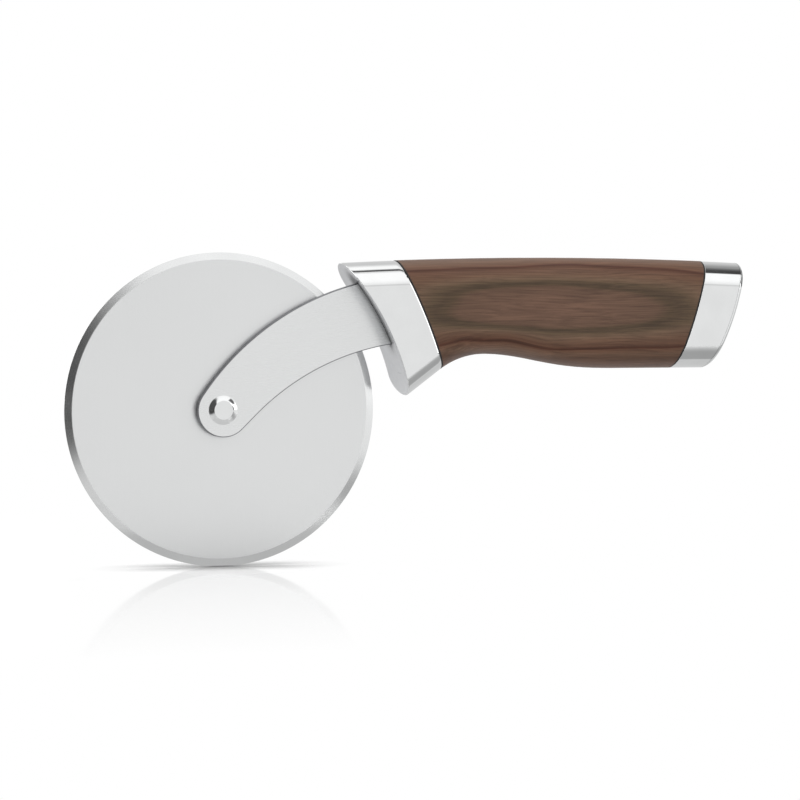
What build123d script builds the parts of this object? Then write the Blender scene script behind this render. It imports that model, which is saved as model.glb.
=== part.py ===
from build123d import *
import os
from math import cos, pi, radians, sin, sqrt, tan

# Pizza cutter wheel, in millimetres.
# The pieces are drawn with the blade's axle on the Y axis: X runs along the handle,
# away from the blade, Y along the axle and away from the arm's front face, Z up.
# Export then moves them all, so that the part's origin is the middle of the grip.

# Blade and its bushing
blade_diameter = 100.0
blade_thickness = 1.4
bevel_width = 2.4
edge_land = 0.3
bushing_diameter = 9.0
running_clearance = 0.03
side_play = 0.05

# Axle, its two heads and its washers
axle_diameter = 6.0
axle_spigot_diameter = 4.0
spigot_clearance = 0.02
head_diameter = 9.3
head_flat_diameter = 6.0
head_height = 1.0
head_rim = 0.25
washer_diameter = 13.0
washer_thickness = 0.5
washer_clearance = 0.1
spring_washer_diameter = 11.0
spring_washer_sheet = 0.4
spring_washer_rise = 0.35

# Arm, a flat steel strap that ends in a narrower tang
arm_thickness = 3.2
arm_end_radius = 8.4
arm_end_shift_x = 0.25
arm_end_shift_z = -0.25
arm_top_radius = 87.0
arm_top_start_angle = 146.0
arm_top_end_angle = 92.0
arm_bottom_angle = 45.0
arm_bottom_straight = 6.0
arm_bottom_radius = 80.0
arm_bottom_end_angle = 93.0
tang_width = 12.0
tang_end_gap = 0.5
arm_pocket_depth = 3.0
arm_clearance = 0.12

# Handle: thickness, top line, underside and the rounding of its section
handle_thickness = 23.5
side_trim = 0.03
section_round_height = 8.7
loft_start_x = 30.0
loft_end_x = 180.0
loft_stations = 26
top_height = 48.5
top_peak_x = 108.0
top_radius = 1400.0
notch_x = 86.3
notch_height = 17.3
notch_radius = 26.0
ramp_angle = 36.9
belly_height = 12.4
tail_length = 50.0

# Curved cuts across the handle: centre in the side view, radius and crown
crown_radius = 62.0
face_center = (-20.9, -10.1)
face_radius = 82.0
joint_center = (-81.3, -31.0)
joint_radius = 158.5
cap_center = (27.7, 68.9)
cap_radius = 133.9
rear_center = (93.9, 54.6)
rear_radius = 79.9

# Shells, tenons and the thin liners between wood and steel
shell_wall = 2.0
face_wall = 6.0
tenon_clearance = 0.2
tenon_end_gap = 0.6
liner_thickness = 0.4
end_plate_thickness = 1.0
end_seam_width = 0.3
end_seam_depth = 0.3

# Tie rod through the grip, with the coupler that joins it to the tang
rod_diameter = 6.0
rod_end_past_nut = 2.0
thread_clearance = 0.05
rod_bore_clearance = 0.4
coupler_diameter = 14.0
coupler_face_gap = 5.0
coupler_length = 25.0
coupler_slot_depth = 15.0
coupler_thread_depth = 9.0
coupler_clearance = 0.15
coupler_end_gap = 0.8
coupler_pin_diameter = 3.0
coupler_pin_spacing = 6.5
coupler_pin_setback = 4.5
coupler_pin_inset = 0.5
nut_bore_diameter = 15.0
nut_seat_x = 150.0
tie_washer_diameter = 12.0
tie_washer_thickness = 1.6
lock_washer_diameter = 11.0
lock_washer_thickness = 1.5
lock_washer_gap = 1.2
nut_across_flats = 10.0
nut_height = 5.0

# The grip's middle, seen from the axle, on the tie rod's line: the part's origin
grip_x = 108.0

# Overrun of every cut past the solid that it cuts
overrun = 1.0

half_thickness = handle_thickness / 2
half_arm = arm_thickness / 2

# Layers along the axle, from the arm's back face to the rear head
front_washer_y = half_arm
blade_front_y = front_washer_y + washer_thickness + side_play
blade_back_y = blade_front_y + blade_thickness
rear_washer_y = blade_back_y + side_play
spring_washer_y = rear_washer_y + washer_thickness
shoulder_y = spring_washer_y + spring_washer_rise + spring_washer_sheet
rear_head_y = shoulder_y + head_height


def turned(points):
    """A piece turned about the axle, from (radius, y) points."""
    outline = Polyline(*points, close=True)
    return revolve(make_face(outline), Axis.Y)


def ring(outer_diameter, bore_diameter, start_y, thickness):
    """A flat ring about the axle."""
    outer = outer_diameter / 2
    bore = bore_diameter / 2
    end_y = start_y + thickness
    return turned([(bore, start_y), (outer, start_y), (outer, end_y), (bore, end_y)])


def bar(diameter, start_x, end_x):
    """A round bar along the handle, on the tie rod's line."""
    middle = Location(((start_x + end_x) / 2, 0, rod_height))
    return middle * Rotation(0, 90, 0) * Cylinder(diameter / 2, end_x - start_x)


def block(start_x, end_x, width_y, low_z, high_z):
    """A box centred on the handle's middle plane."""
    middle = Location(((start_x + end_x) / 2, 0, (low_z + high_z) / 2))
    return middle * Box(end_x - start_x, width_y, high_z - low_z)


def crowned_disc(center, radius):
    """A disc across the handle whose rim bulges, the tool of each curved cut."""
    reach = half_thickness + overrun
    rim = radius - crown_radius + sqrt(crown_radius ** 2 - reach ** 2)
    outline = [
        Line((0, -reach), (rim, -reach)),
        ThreePointArc((rim, -reach), (radius, 0), (rim, reach)),
        Line((rim, reach), (0, reach)),
        Line((0, reach), (0, -reach)),
    ]
    disc = revolve(make_face(outline), Axis.Y)
    return Location((center[0], 0, center[1])) * disc


def topline(x):
    """Height of the handle's top line at x: one long shallow arc."""
    return top_height - top_radius + sqrt(top_radius ** 2 - (x - top_peak_x) ** 2)


def underside(x):
    """Height of the handle's lowest line at x: ramp, finger notch, then belly."""
    ahead = notch_x - x
    run = notch_radius * sin(radians(ramp_angle))
    if ahead > run:
        drop = notch_radius * (1 - cos(radians(ramp_angle)))
        return notch_height - drop - (ahead - run) * tan(radians(ramp_angle))
    if ahead > 0:
        return notch_height - notch_radius + sqrt(notch_radius ** 2 - ahead ** 2)
    tail_share = min(-ahead / tail_length, 1)
    swell_share = ((1 + cos(pi * tail_share)) / 2) ** 2
    return belly_height + (notch_height - belly_height) * swell_share


def face_at(height):
    """X of the bolster's front face, in the middle plane, at a height."""
    return face_center[0] + sqrt(face_radius ** 2 - (height - face_center[1]) ** 2)


# The tie rod lies midway between top line and underside at the grip's middle,
# and the coupler stands behind the bolster's front wall
rod_height = (topline(grip_x) + underside(grip_x)) / 2
coupler_start_x = face_at(rod_height) + face_wall + coupler_face_gap
coupler_end_x = coupler_start_x + coupler_length
tang_end_x = coupler_start_x + coupler_slot_depth - tang_end_gap


def handle_section(x, inset):
    """The handle's section at x: upright sides, elliptical top and bottom."""
    half = half_thickness + side_trim - inset
    rise = section_round_height - inset
    top = topline(x) - inset - rise
    low = underside(x) + inset + rise
    outline = [
        EllipticalCenterArc((0, top), half, rise, start_angle=0, arc_size=180),
        Line((-half, top), (-half, low)),
        EllipticalCenterArc((0, low), half, rise, start_angle=180, arc_size=180),
        Line((half, low), (half, top)),
    ]
    return Plane.YZ.offset(x) * make_face(outline)


def handle_body(inset):
    """The whole handle's form, drawn in by an inset, with truly flat sides."""
    step = (loft_end_x - loft_start_x) / (loft_stations - 1)
    sections = [handle_section(loft_start_x + step * i, inset) for i in range(loft_stations)]
    sides = 2 * (half_thickness - inset)
    return loft(sections) & block(loft_start_x, loft_end_x, sides, -top_height, top_height + overrun)


# The arm's outline, seen from the front
def arm_outline(margin):
    """Face of the arm, grown by a margin: round end, two long arcs, open towards the handle."""
    end = arm_end_radius + margin
    top = arm_top_radius + margin
    bottom = arm_bottom_radius - margin
    top_reach = arm_top_radius - arm_end_radius
    top_x = arm_end_shift_x - top_reach * cos(radians(arm_top_start_angle))
    top_z = arm_end_shift_z - top_reach * sin(radians(arm_top_start_angle))
    side_x = sin(radians(arm_bottom_angle))
    side_z = cos(radians(arm_bottom_angle))
    straight_start = (arm_end_shift_x + end * side_x, arm_end_shift_z - end * side_z)
    straight_end = (straight_start[0] + arm_bottom_straight * side_z,
                    straight_start[1] + arm_bottom_straight * side_x)
    bottom_center = (straight_end[0] + bottom * side_x, straight_end[1] - bottom * side_z)
    bottom_start_angle = 90 + arm_bottom_angle
    end_center = (arm_end_shift_x, arm_end_shift_z)
    end_arc = CenterArc(end_center, end, arm_top_start_angle, 270 + arm_bottom_angle - arm_top_start_angle)
    straight = Line(straight_start, straight_end)
    bottom_arc = CenterArc(bottom_center, bottom, bottom_start_angle, arm_bottom_end_angle - bottom_start_angle)
    top_arc = CenterArc((top_x, top_z), top, arm_top_end_angle, arm_top_start_angle - arm_top_end_angle)
    closing = Line(bottom_arc @ 1, top_arc @ 0)
    return Plane.XZ * make_face([end_arc, straight, bottom_arc, closing, top_arc])


# Wheel
def make_blade():
    """Round blade, bevelled on both faces, with the bushing's hole."""
    rim = blade_diameter / 2
    bore = bushing_diameter / 2
    bevel_start = rim - bevel_width
    middle = (blade_front_y + blade_back_y) / 2
    return turned([
        (bore, blade_front_y),
        (bevel_start, blade_front_y),
        (rim, middle - edge_land / 2),
        (rim, middle + edge_land / 2),
        (bevel_start, blade_back_y),
        (bore, blade_back_y),
    ])


def make_blade_bushing():
    """Bronze sleeve pressed into the blade, which runs on the axle."""
    bore = axle_diameter + 2 * running_clearance
    return ring(bushing_diameter, bore, blade_front_y, blade_thickness)


# Axle and washers
def head_profile(inner_radius, seat_y, outer_y):
    """Profile of a rivet head from its seat to its flat top, with a rounded shoulder."""
    side = 1 if outer_y > seat_y else -1
    rim = head_diameter / 2
    flat = head_flat_diameter / 2
    rim_y = seat_y + side * head_rim
    bulge_share = 0.62
    middle = (flat + (rim - flat) * bulge_share, rim_y + (outer_y - rim_y) * bulge_share)
    return [
        Line((inner_radius, seat_y), (rim, seat_y)),
        Line((rim, seat_y), (rim, rim_y)),
        ThreePointArc((rim, rim_y), middle, (flat, outer_y)),
        Line((flat, outer_y), (inner_radius, outer_y)),
        Line((inner_radius, outer_y), (inner_radius, seat_y)),
    ]


def make_axle_pin():
    """Shouldered rivet: front head, shank that the wheel runs on, and a thin rear spigot."""
    shank = axle_diameter / 2
    spigot = axle_spigot_diameter / 2
    head = revolve(make_face(head_profile(0, -half_arm, -half_arm - head_height)), Axis.Y)
    stem = turned([
        (0, -half_arm),
        (shank, -half_arm),
        (shank, shoulder_y),
        (spigot, shoulder_y),
        (spigot, rear_head_y),
        (0, rear_head_y),
    ])
    return head + stem


def make_axle_cap():
    """Rear head, closed over the axle's spigot."""
    bore = axle_spigot_diameter / 2 + spigot_clearance
    return revolve(make_face(head_profile(bore, shoulder_y, rear_head_y)), Axis.Y)


def make_front_washer():
    """Nylon washer between the arm and the blade."""
    return ring(washer_diameter, axle_diameter + 2 * washer_clearance, front_washer_y, washer_thickness)


def make_rear_washer():
    """Nylon washer behind the blade."""
    return ring(washer_diameter, axle_diameter + 2 * washer_clearance, rear_washer_y, washer_thickness)


def make_spring_washer():
    """Dished steel washer that keeps the wheel from rattling."""
    outer = spring_washer_diameter / 2
    bore = axle_diameter / 2 + washer_clearance
    low = spring_washer_y
    high = low + spring_washer_rise
    return turned([
        (bore, high),
        (outer, low),
        (outer, low + spring_washer_sheet),
        (bore, high + spring_washer_sheet),
    ])


# Arm
def make_arm():
    """Strap from the axle to the bolster's pocket, with its tang and its holes."""
    seat = crowned_disc(face_center, face_radius + arm_pocket_depth)
    strap = extrude(arm_outline(0), half_arm, both=True) & seat
    low_z = rod_height - tang_width / 2
    solid = strap + block(face_at(rod_height), tang_end_x, arm_thickness, low_z, low_z + tang_width)
    axle_hole = ring(axle_diameter + 2 * spigot_clearance, 0, -half_arm - overrun, arm_thickness + 2 * overrun)
    solid -= axle_hole
    for pin in coupler_pin_tools(coupler_pin_diameter + 2 * spigot_clearance, arm_thickness + overrun):
        solid -= pin
    return solid


# Bolster
def tang_slot(start_x, end_x):
    """The slot that the tang passes, with its clearance."""
    low_z = rod_height - tang_width / 2 - arm_clearance
    high_z = rod_height + tang_width / 2 + arm_clearance
    return block(start_x, end_x, arm_thickness + 2 * arm_clearance, low_z, high_z)


def make_bolster():
    """Hollow steel collar with a curved face, a pocket for the arm and a slot for the tang."""
    body = handle_body(0) & crowned_disc(joint_center, joint_radius)
    body -= crowned_disc(face_center, face_radius)
    body -= handle_body(shell_wall) - crowned_disc(face_center, face_radius + face_wall)
    pocket = extrude(arm_outline(arm_clearance), half_arm + arm_clearance, both=True)
    body -= pocket & crowned_disc(face_center, face_radius + arm_pocket_depth)
    body -= tang_slot(face_at(rod_height), coupler_start_x)
    return body


# Liners
def make_liner(center, radius):
    """Thin dark liner between a steel shell and the wood, open for the tenon."""
    body = handle_body(0) & crowned_disc(center, radius + liner_thickness)
    return body - crowned_disc(center, radius) - handle_body(shell_wall)


# Wood
def make_wood_grip():
    """Wooden grip with a tenon in each shell, bored for the coupler, the rod and the nut."""
    body = handle_body(0) & crowned_disc(cap_center, cap_radius)
    body -= crowned_disc(joint_center, joint_radius + liner_thickness)
    core = handle_body(shell_wall + tenon_clearance)
    core &= crowned_disc(rear_center, rear_radius - end_plate_thickness - end_seam_width - tenon_end_gap)
    core -= crowned_disc(face_center, face_radius + face_wall + tenon_end_gap)
    body += core
    body -= bar(coupler_diameter + 2 * coupler_clearance, loft_start_x, coupler_end_x + coupler_end_gap)
    body -= bar(rod_diameter + 2 * rod_bore_clearance, coupler_start_x, nut_seat_x + overrun)
    body -= bar(nut_bore_diameter, nut_seat_x, loft_end_x)
    return body


# Tie rod and what it holds
def coupler_pin_tools(diameter, length):
    """The two cross pins of the coupler, as bars along Y."""
    places = [coupler_start_x + coupler_pin_setback + coupler_pin_spacing * i for i in range(2)]
    return [Location((x, 0, rod_height)) * Rotation(90, 0, 0) * Cylinder(diameter / 2, length) for x in places]


def make_rod_coupler():
    """Round coupler: forked over the tang in front, threaded for the rod behind."""
    body = bar(coupler_diameter, coupler_start_x, coupler_end_x)
    slot_width = arm_thickness + 2 * spigot_clearance
    reach = coupler_diameter / 2 + overrun
    body -= block(coupler_start_x - overrun, coupler_start_x + coupler_slot_depth, slot_width,
                  rod_height - reach, rod_height + reach)
    body -= bar(rod_diameter + 2 * thread_clearance, coupler_end_x - coupler_thread_depth, coupler_end_x + overrun)
    for pin in coupler_pin_tools(coupler_pin_diameter + 2 * spigot_clearance, coupler_diameter + overrun):
        body -= pin
    return body


def make_coupler_pins():
    """Two steel cross pins through coupler and tang."""
    return coupler_pin_tools(coupler_pin_diameter, coupler_diameter - 2 * coupler_pin_inset)


def make_tie_rod():
    """Steel rod from the coupler to the nut at the grip's rear end."""
    start_x = coupler_end_x - coupler_thread_depth
    stack = tie_washer_thickness + lock_washer_thickness + nut_height
    return bar(rod_diameter, start_x, nut_seat_x + stack + rod_end_past_nut)


def make_tie_washer():
    """Flat washer on the counterbore's floor."""
    bore = rod_diameter + 2 * rod_bore_clearance
    body = bar(tie_washer_diameter, nut_seat_x, nut_seat_x + tie_washer_thickness)
    return body - bar(bore, nut_seat_x - overrun, nut_seat_x + tie_washer_thickness + overrun)


def make_lock_washer():
    """Split spring washer under the nut."""
    start_x = nut_seat_x + tie_washer_thickness
    end_x = start_x + lock_washer_thickness
    body = bar(lock_washer_diameter, start_x, end_x)
    body -= bar(rod_diameter + 2 * washer_clearance, start_x - overrun, end_x + overrun)
    return body - block(start_x - overrun, end_x + overrun, lock_washer_gap,
                        rod_height, rod_height + lock_washer_diameter)


def make_tie_nut():
    """Hexagon nut that draws arm, bolster and grip together."""
    start_x = nut_seat_x + tie_washer_thickness + lock_washer_thickness
    hexagon = RegularPolygon(nut_across_flats / 2, 6, major_radius=False)
    body = extrude(Plane.YZ.offset(start_x) * Location((0, rod_height)) * hexagon, nut_height)
    return body - bar(rod_diameter + 2 * thread_clearance, start_x - overrun, start_x + nut_height + overrun)


# End cap
def make_end_cap():
    """Steel band over the grip's rear tenon."""
    body = handle_body(0) & crowned_disc(rear_center, rear_radius - end_plate_thickness - end_seam_width)
    body -= crowned_disc(cap_center, cap_radius + liner_thickness)
    return body - handle_body(shell_wall)


def make_end_plate():
    """Plate that closes the end cap, with a fine seam groove beside it."""
    rear_half = block(nut_seat_x, loft_end_x, handle_thickness, 0, top_height)
    plate = handle_body(0) & rear_half & crowned_disc(rear_center, rear_radius)
    plate -= crowned_disc(rear_center, rear_radius - end_plate_thickness)
    step = handle_body(end_seam_depth) & rear_half & crowned_disc(rear_center, rear_radius - end_plate_thickness)
    step -= crowned_disc(rear_center, rear_radius - end_plate_thickness - end_seam_width)
    return plate + step


def write(name, shape):
    """Move a piece, or a list of like pieces, to the part's frame and write its file."""
    solids = shape if isinstance(shape, list) else [shape]
    shift = Location((-grip_x, 0, -rod_height))
    moved = [shift * solid for solid in solids]
    whole = moved[0] if len(moved) == 1 else Compound(children=moved)
    export_step(whole, "parts/" + name + ".step")


os.makedirs("parts", exist_ok=True)
write("blade", make_blade())
write("blade_bushing", make_blade_bushing())
write("axle_pin", make_axle_pin())
write("axle_cap", make_axle_cap())
write("front_washer", make_front_washer())
write("rear_washer", make_rear_washer())
write("spring_washer", make_spring_washer())
write("arm", make_arm())
write("bolster", make_bolster())
write("front_liner", make_liner(joint_center, joint_radius))
write("wood_grip", make_wood_grip())
write("rod_coupler", make_rod_coupler())
write("coupler_pins", make_coupler_pins())
write("tie_rod", make_tie_rod())
write("tie_washer", make_tie_washer())
write("lock_washer", make_lock_washer())
write("tie_nut", make_tie_nut())
write("rear_liner", make_liner(cap_center, cap_radius))
write("end_cap", make_end_cap())
write("end_plate", make_end_plate())
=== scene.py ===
"""Looks of a pizza cutter wheel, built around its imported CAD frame.

The part's frame has its origin in the middle of the wooden grip: X runs along the
handle away from the blade, Y away from the arm's front face, Z up. All sizes are
in metres unless a name says millimetres.
"""

import logging
import math
from dataclasses import dataclass
from enum import Enum
from typing import Any

import bmesh
import bpy
import numpy as np
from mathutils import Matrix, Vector

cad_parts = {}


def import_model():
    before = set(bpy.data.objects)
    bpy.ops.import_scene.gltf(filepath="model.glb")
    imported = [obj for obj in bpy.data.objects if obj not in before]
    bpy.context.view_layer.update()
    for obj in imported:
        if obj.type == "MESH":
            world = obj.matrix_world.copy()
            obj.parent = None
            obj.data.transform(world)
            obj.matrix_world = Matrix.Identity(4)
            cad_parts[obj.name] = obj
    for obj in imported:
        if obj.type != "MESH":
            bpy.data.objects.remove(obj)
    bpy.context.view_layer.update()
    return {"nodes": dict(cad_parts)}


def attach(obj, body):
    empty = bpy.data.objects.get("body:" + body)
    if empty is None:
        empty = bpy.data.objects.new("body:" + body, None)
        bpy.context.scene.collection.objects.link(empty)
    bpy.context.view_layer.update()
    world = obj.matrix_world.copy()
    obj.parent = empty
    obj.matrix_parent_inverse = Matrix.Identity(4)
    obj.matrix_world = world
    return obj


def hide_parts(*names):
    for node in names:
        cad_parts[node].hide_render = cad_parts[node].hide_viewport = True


LOG = logging.getLogger("pizza_cutter")
MM = 0.001
# Where the wheel's axle crosses the part's frame.
AXLE_X = -0.108
AXLE_Z = -0.03134064
SHARP_ANGLE = math.radians(20.0)
# Rings of a rim that is a plain bevel.
BEVEL_RINGS = 2
WHITE = (1.0, 1.0, 1.0, 1.0)
BLACK = (0.0, 0.0, 0.0, 1.0)
# The strength at which a glow shows as white.
WHITE_LEVEL = 1.0
NOISE_MIDDLE = (0.5, 0.5, 0.5)

Triple = tuple[float, float, float]
# Position and sRGB hex colour of each stop of a colour ramp.
Stops = tuple[tuple[float, str], ...]


class Node(Enum):
    """CAD nodes of the part, by name."""

    BLADE = "blade"
    BUSHING = "blade_bushing"
    AXLE_PIN = "axle_pin"
    AXLE_CAP = "axle_cap"
    FRONT_WASHER = "front_washer"
    REAR_WASHER = "rear_washer"
    SPRING_WASHER = "spring_washer"
    ARM = "arm"
    BOLSTER = "bolster"
    FRONT_LINER = "front_liner"
    GRIP = "wood_grip"
    REAR_LINER = "rear_liner"
    END_CAP = "end_cap"
    END_PLATE = "end_plate"
    COUPLER = "rod_coupler"
    PINS = "coupler_pins"
    ROD = "tie_rod"
    TIE_WASHER = "tie_washer"
    LOCK_WASHER = "lock_washer"
    NUT = "tie_nut"


class Body(Enum):
    """Bodies of the part that move as one."""

    HANDLE = "handle"
    WHEEL = "wheel"


class Slot(Enum):
    """Material slots of the record that the scene's own pieces take their finish from."""

    BLADE = "blade_steel"
    RIVET = "rivet_steel"
    ARM = "arm_steel"
    POLISHED = "polished_steel"


class Finish(Enum):
    """Finishes, by the piece or the face that shows them or by what they are."""

    BLADE = "blade"
    BEVEL = "bevel"
    ARM = "arm"
    EDGE = "edge"
    FACE = "face"
    RIVET = "rivet"
    POLISHED = "polished"
    WALNUT = "walnut"
    FIBRE = "fibre"
    NYLON = "nylon"
    BRONZE = "bronze"
    SPRING = "spring"
    ZINC = "zinc"


class Axis(Enum):
    """Directions of the part's frame, by their place in a vector."""

    X = 0
    Y = 1
    Z = 2


def linear(hex_colour: str) -> tuple[float, float, float, float]:
    """Turn an sRGB hex colour into the linear colour that sockets take.

    Args:
        hex_colour: Six hex digits, such as "6e5648".

    Returns:
        Red, green, blue and full alpha, all linear.
    """
    parts = [int(hex_colour[i:i + 2], 16) / 255 for i in (0, 2, 4)]
    curve = [c / 12.92 if c <= 0.04045 else ((c + 0.055) / 1.055) ** 2.4 for c in parts]
    return (curve[0], curve[1], curve[2], 1.0)


class NodeSheet:
    """A node tree together with one way of adding nodes to it."""

    def __init__(self, tree: bpy.types.NodeTree) -> None:
        """Start an empty tree.

        Args:
            tree: The tree to fill.
        """
        self.tree = tree
        tree.nodes.clear()

    def add(self, kind: str, inputs: dict[Any, Any] | None = None, stops: Stops = (),
            **settings: Any) -> bpy.types.Node:
        """Add a node with its settings, values and incoming links.

        Args:
            kind: The node's Blender type.
            inputs: Socket name or number, to a value or to the output socket that feeds it.
            stops: A colour ramp's stops: position and sRGB hex colour of each.
            **settings: Attributes of the node.

        Returns:
            The new node.
        """
        node = self.tree.nodes.new(kind)
        for name, value in settings.items():
            setattr(node, name, value)
        for key, value in (inputs or {}).items():
            socket = node.inputs[key]
            if isinstance(value, bpy.types.NodeSocket):
                self.tree.links.new(value, socket)
            else:
                socket.default_value = value
        if stops:
            elements = node.color_ramp.elements
            while len(elements) < len(stops):
                elements.new(1.0)
            for element, (position, colour) in zip(elements, stops):
                element.position = position
                element.color = linear(colour)
        return node


def node_material(name: str) -> tuple[bpy.types.Material, NodeSheet]:
    """Make an empty node material.

    Args:
        name: The material's name.

    Returns:
        The material and the sheet of its tree.
    """
    material = bpy.data.materials.new(name)
    material.use_nodes = True
    return material, NodeSheet(material.node_tree)


@dataclass(frozen=True)
class BrushedSteel:
    """Stainless steel sheet with a fine satin brushing.

    To the eye: an even pale grey that blurs what it mirrors. Real lines are too fine
    to show, so they are drawn a few times as wide, as a faint unevenness.
    """

    name: str
    colour: str = "dedfdf"
    dark_colour: str = "dcdddd"
    roughness: float = 0.3
    roughness_spread: float = 0.02
    line_spacing_mm: float = 0.16
    line_length_mm: float = 9.0
    line_detail: float = 3.0
    line_limits: tuple[float, float] = (0.3, 0.7)
    cloud_mm: float = 40.0
    cloud_detail: float = 2.0
    tone_limits: tuple[float, float] = (0.7, 1.3)
    bump_mm: float = 0.0002
    bump_strength: float = 0.25
    along: Axis = Axis.Z

    def material(self) -> bpy.types.Material:
        """Build the material.

        Returns:
            The finished material.
        """
        material, sheet = node_material(self.name)
        place = sheet.add("ShaderNodeTexCoord").outputs["Object"]
        scale = [1 / (self.line_spacing_mm * MM)] * len(Axis)
        scale[self.along.value] = 1 / (self.line_length_mm * MM)
        lines = sheet.add("ShaderNodeMapping", {"Vector": place, "Scale": tuple(scale)}).outputs["Vector"]
        fine = sheet.add("ShaderNodeTexNoise", {
            "Vector": lines, "Scale": 1.0, "Detail": self.line_detail,
        }).outputs["Fac"]
        cloud = sheet.add("ShaderNodeTexNoise", {
            "Vector": place, "Scale": 1 / (self.cloud_mm * MM), "Detail": self.cloud_detail,
        }).outputs["Fac"]
        mixed = sheet.add("ShaderNodeMath", {0: fine, 1: cloud}, operation="ADD").outputs[0]
        tone = sheet.add("ShaderNodeMapRange", {
            "Value": mixed, "From Min": self.tone_limits[0], "From Max": self.tone_limits[1],
        }).outputs[0]
        colour = sheet.add("ShaderNodeValToRGB", {"Fac": tone}, (
            (0.0, self.dark_colour), (1.0, self.colour),
        )).outputs["Color"]
        rough = sheet.add("ShaderNodeMapRange", {
            "Value": fine, "From Min": self.line_limits[0], "From Max": self.line_limits[1],
            "To Min": self.roughness - self.roughness_spread,
            "To Max": self.roughness + self.roughness_spread,
        }).outputs[0]
        bump = sheet.add("ShaderNodeBump", {
            "Height": fine, "Strength": self.bump_strength, "Distance": self.bump_mm * MM,
        }).outputs[0]
        shader = sheet.add("ShaderNodeBsdfPrincipled", {
            "Base Color": colour, "Metallic": 1.0, "Roughness": rough, "Normal": bump,
        })
        sheet.add("ShaderNodeOutputMaterial", {"Surface": shader.outputs[0]})
        return material


@dataclass(frozen=True)
class PolishedSteel:
    """Stainless steel, polished on a cloth wheel, or ground where it is rougher.

    To the eye: clear dark and light bands, only just softened, and a trace of haze.
    A rougher one shows the same bands blurred.
    """

    name: str
    colour: str = "e1e2e2"
    haze_colour: str = "dddede"
    roughness: float = 0.07
    roughness_spread: float = 0.025
    haze_mm: float = 9.0
    haze_detail: float = 3.0
    haze_limits: tuple[float, float] = (0.3, 0.7)
    tone_limits: tuple[float, float] = (0.35, 0.65)

    def material(self) -> bpy.types.Material:
        """Build the material.

        Returns:
            The finished material.
        """
        material, sheet = node_material(self.name)
        place = sheet.add("ShaderNodeTexCoord").outputs["Object"]
        haze = sheet.add("ShaderNodeTexNoise", {
            "Vector": place, "Scale": 1 / (self.haze_mm * MM), "Detail": self.haze_detail,
        }).outputs["Fac"]
        colour = sheet.add("ShaderNodeValToRGB", {"Fac": haze}, (
            (self.tone_limits[0], self.haze_colour), (self.tone_limits[1], self.colour),
        )).outputs["Color"]
        rough = sheet.add("ShaderNodeMapRange", {
            "Value": haze, "From Min": self.haze_limits[0], "From Max": self.haze_limits[1],
            "To Min": self.roughness - self.roughness_spread,
            "To Max": self.roughness + self.roughness_spread,
        }).outputs[0]
        shader = sheet.add("ShaderNodeBsdfPrincipled", {
            "Base Color": colour, "Metallic": 1.0, "Roughness": rough,
        })
        sheet.add("ShaderNodeOutputMaterial", {"Surface": shader.outputs[0]})
        return material


@dataclass(frozen=True)
class CastSteel:
    """Cast stainless steel, bead-blasted and left satin, with painted shade in its inner corners.

    To the eye: an even, soft grey, painted dark grey as shade right beside whatever stands up from it.
    """

    name: str
    colour: str
    dull_colour: str
    painted_shade_colour: str
    roughness: float = 0.34
    grain_mm: float = 2.0
    grain_detail: float = 3.0
    tone_limits: tuple[float, float] = (0.35, 0.65)
    painted_shade_reach_mm: float = 6.0
    corner: tuple[float, float] = (0.74, 0.96)

    def material(self) -> bpy.types.Material:
        """Build the material.

        Returns:
            The finished material.
        """
        material, sheet = node_material(self.name)
        place = sheet.add("ShaderNodeTexCoord").outputs["Object"]
        grain = sheet.add("ShaderNodeTexNoise", {
            "Vector": place, "Scale": 1 / (self.grain_mm * MM), "Detail": self.grain_detail,
        }).outputs["Fac"]
        clean = sheet.add("ShaderNodeValToRGB", {"Fac": grain}, (
            (self.tone_limits[0], self.dull_colour), (self.tone_limits[1], self.colour),
        )).outputs["Color"]
        # Painted shade: ambient occlusion mixes in a dark grey steel beside whatever stands up from the
        # face.
        openness = sheet.add("ShaderNodeAmbientOcclusion", {"Distance": self.painted_shade_reach_mm * MM}).outputs["AO"]
        unshaded = sheet.add("ShaderNodeMapRange", {
            "Value": openness, "From Min": self.corner[0], "From Max": self.corner[1],
        }).outputs[0]
        steel = sheet.add("ShaderNodeBsdfPrincipled", {
            "Base Color": clean, "Metallic": 1.0, "Roughness": self.roughness,
        })
        painted_shade_steel = sheet.add("ShaderNodeBsdfPrincipled", {
            "Base Color": linear(self.painted_shade_colour), "Metallic": 1.0, "Roughness": self.roughness,
        })
        shader = sheet.add("ShaderNodeMixShader", {0: unshaded, 1: painted_shade_steel.outputs[0], 2: steel.outputs[0]})
        sheet.add("ShaderNodeOutputMaterial", {"Surface": shader.outputs[0]})
        return material


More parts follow.
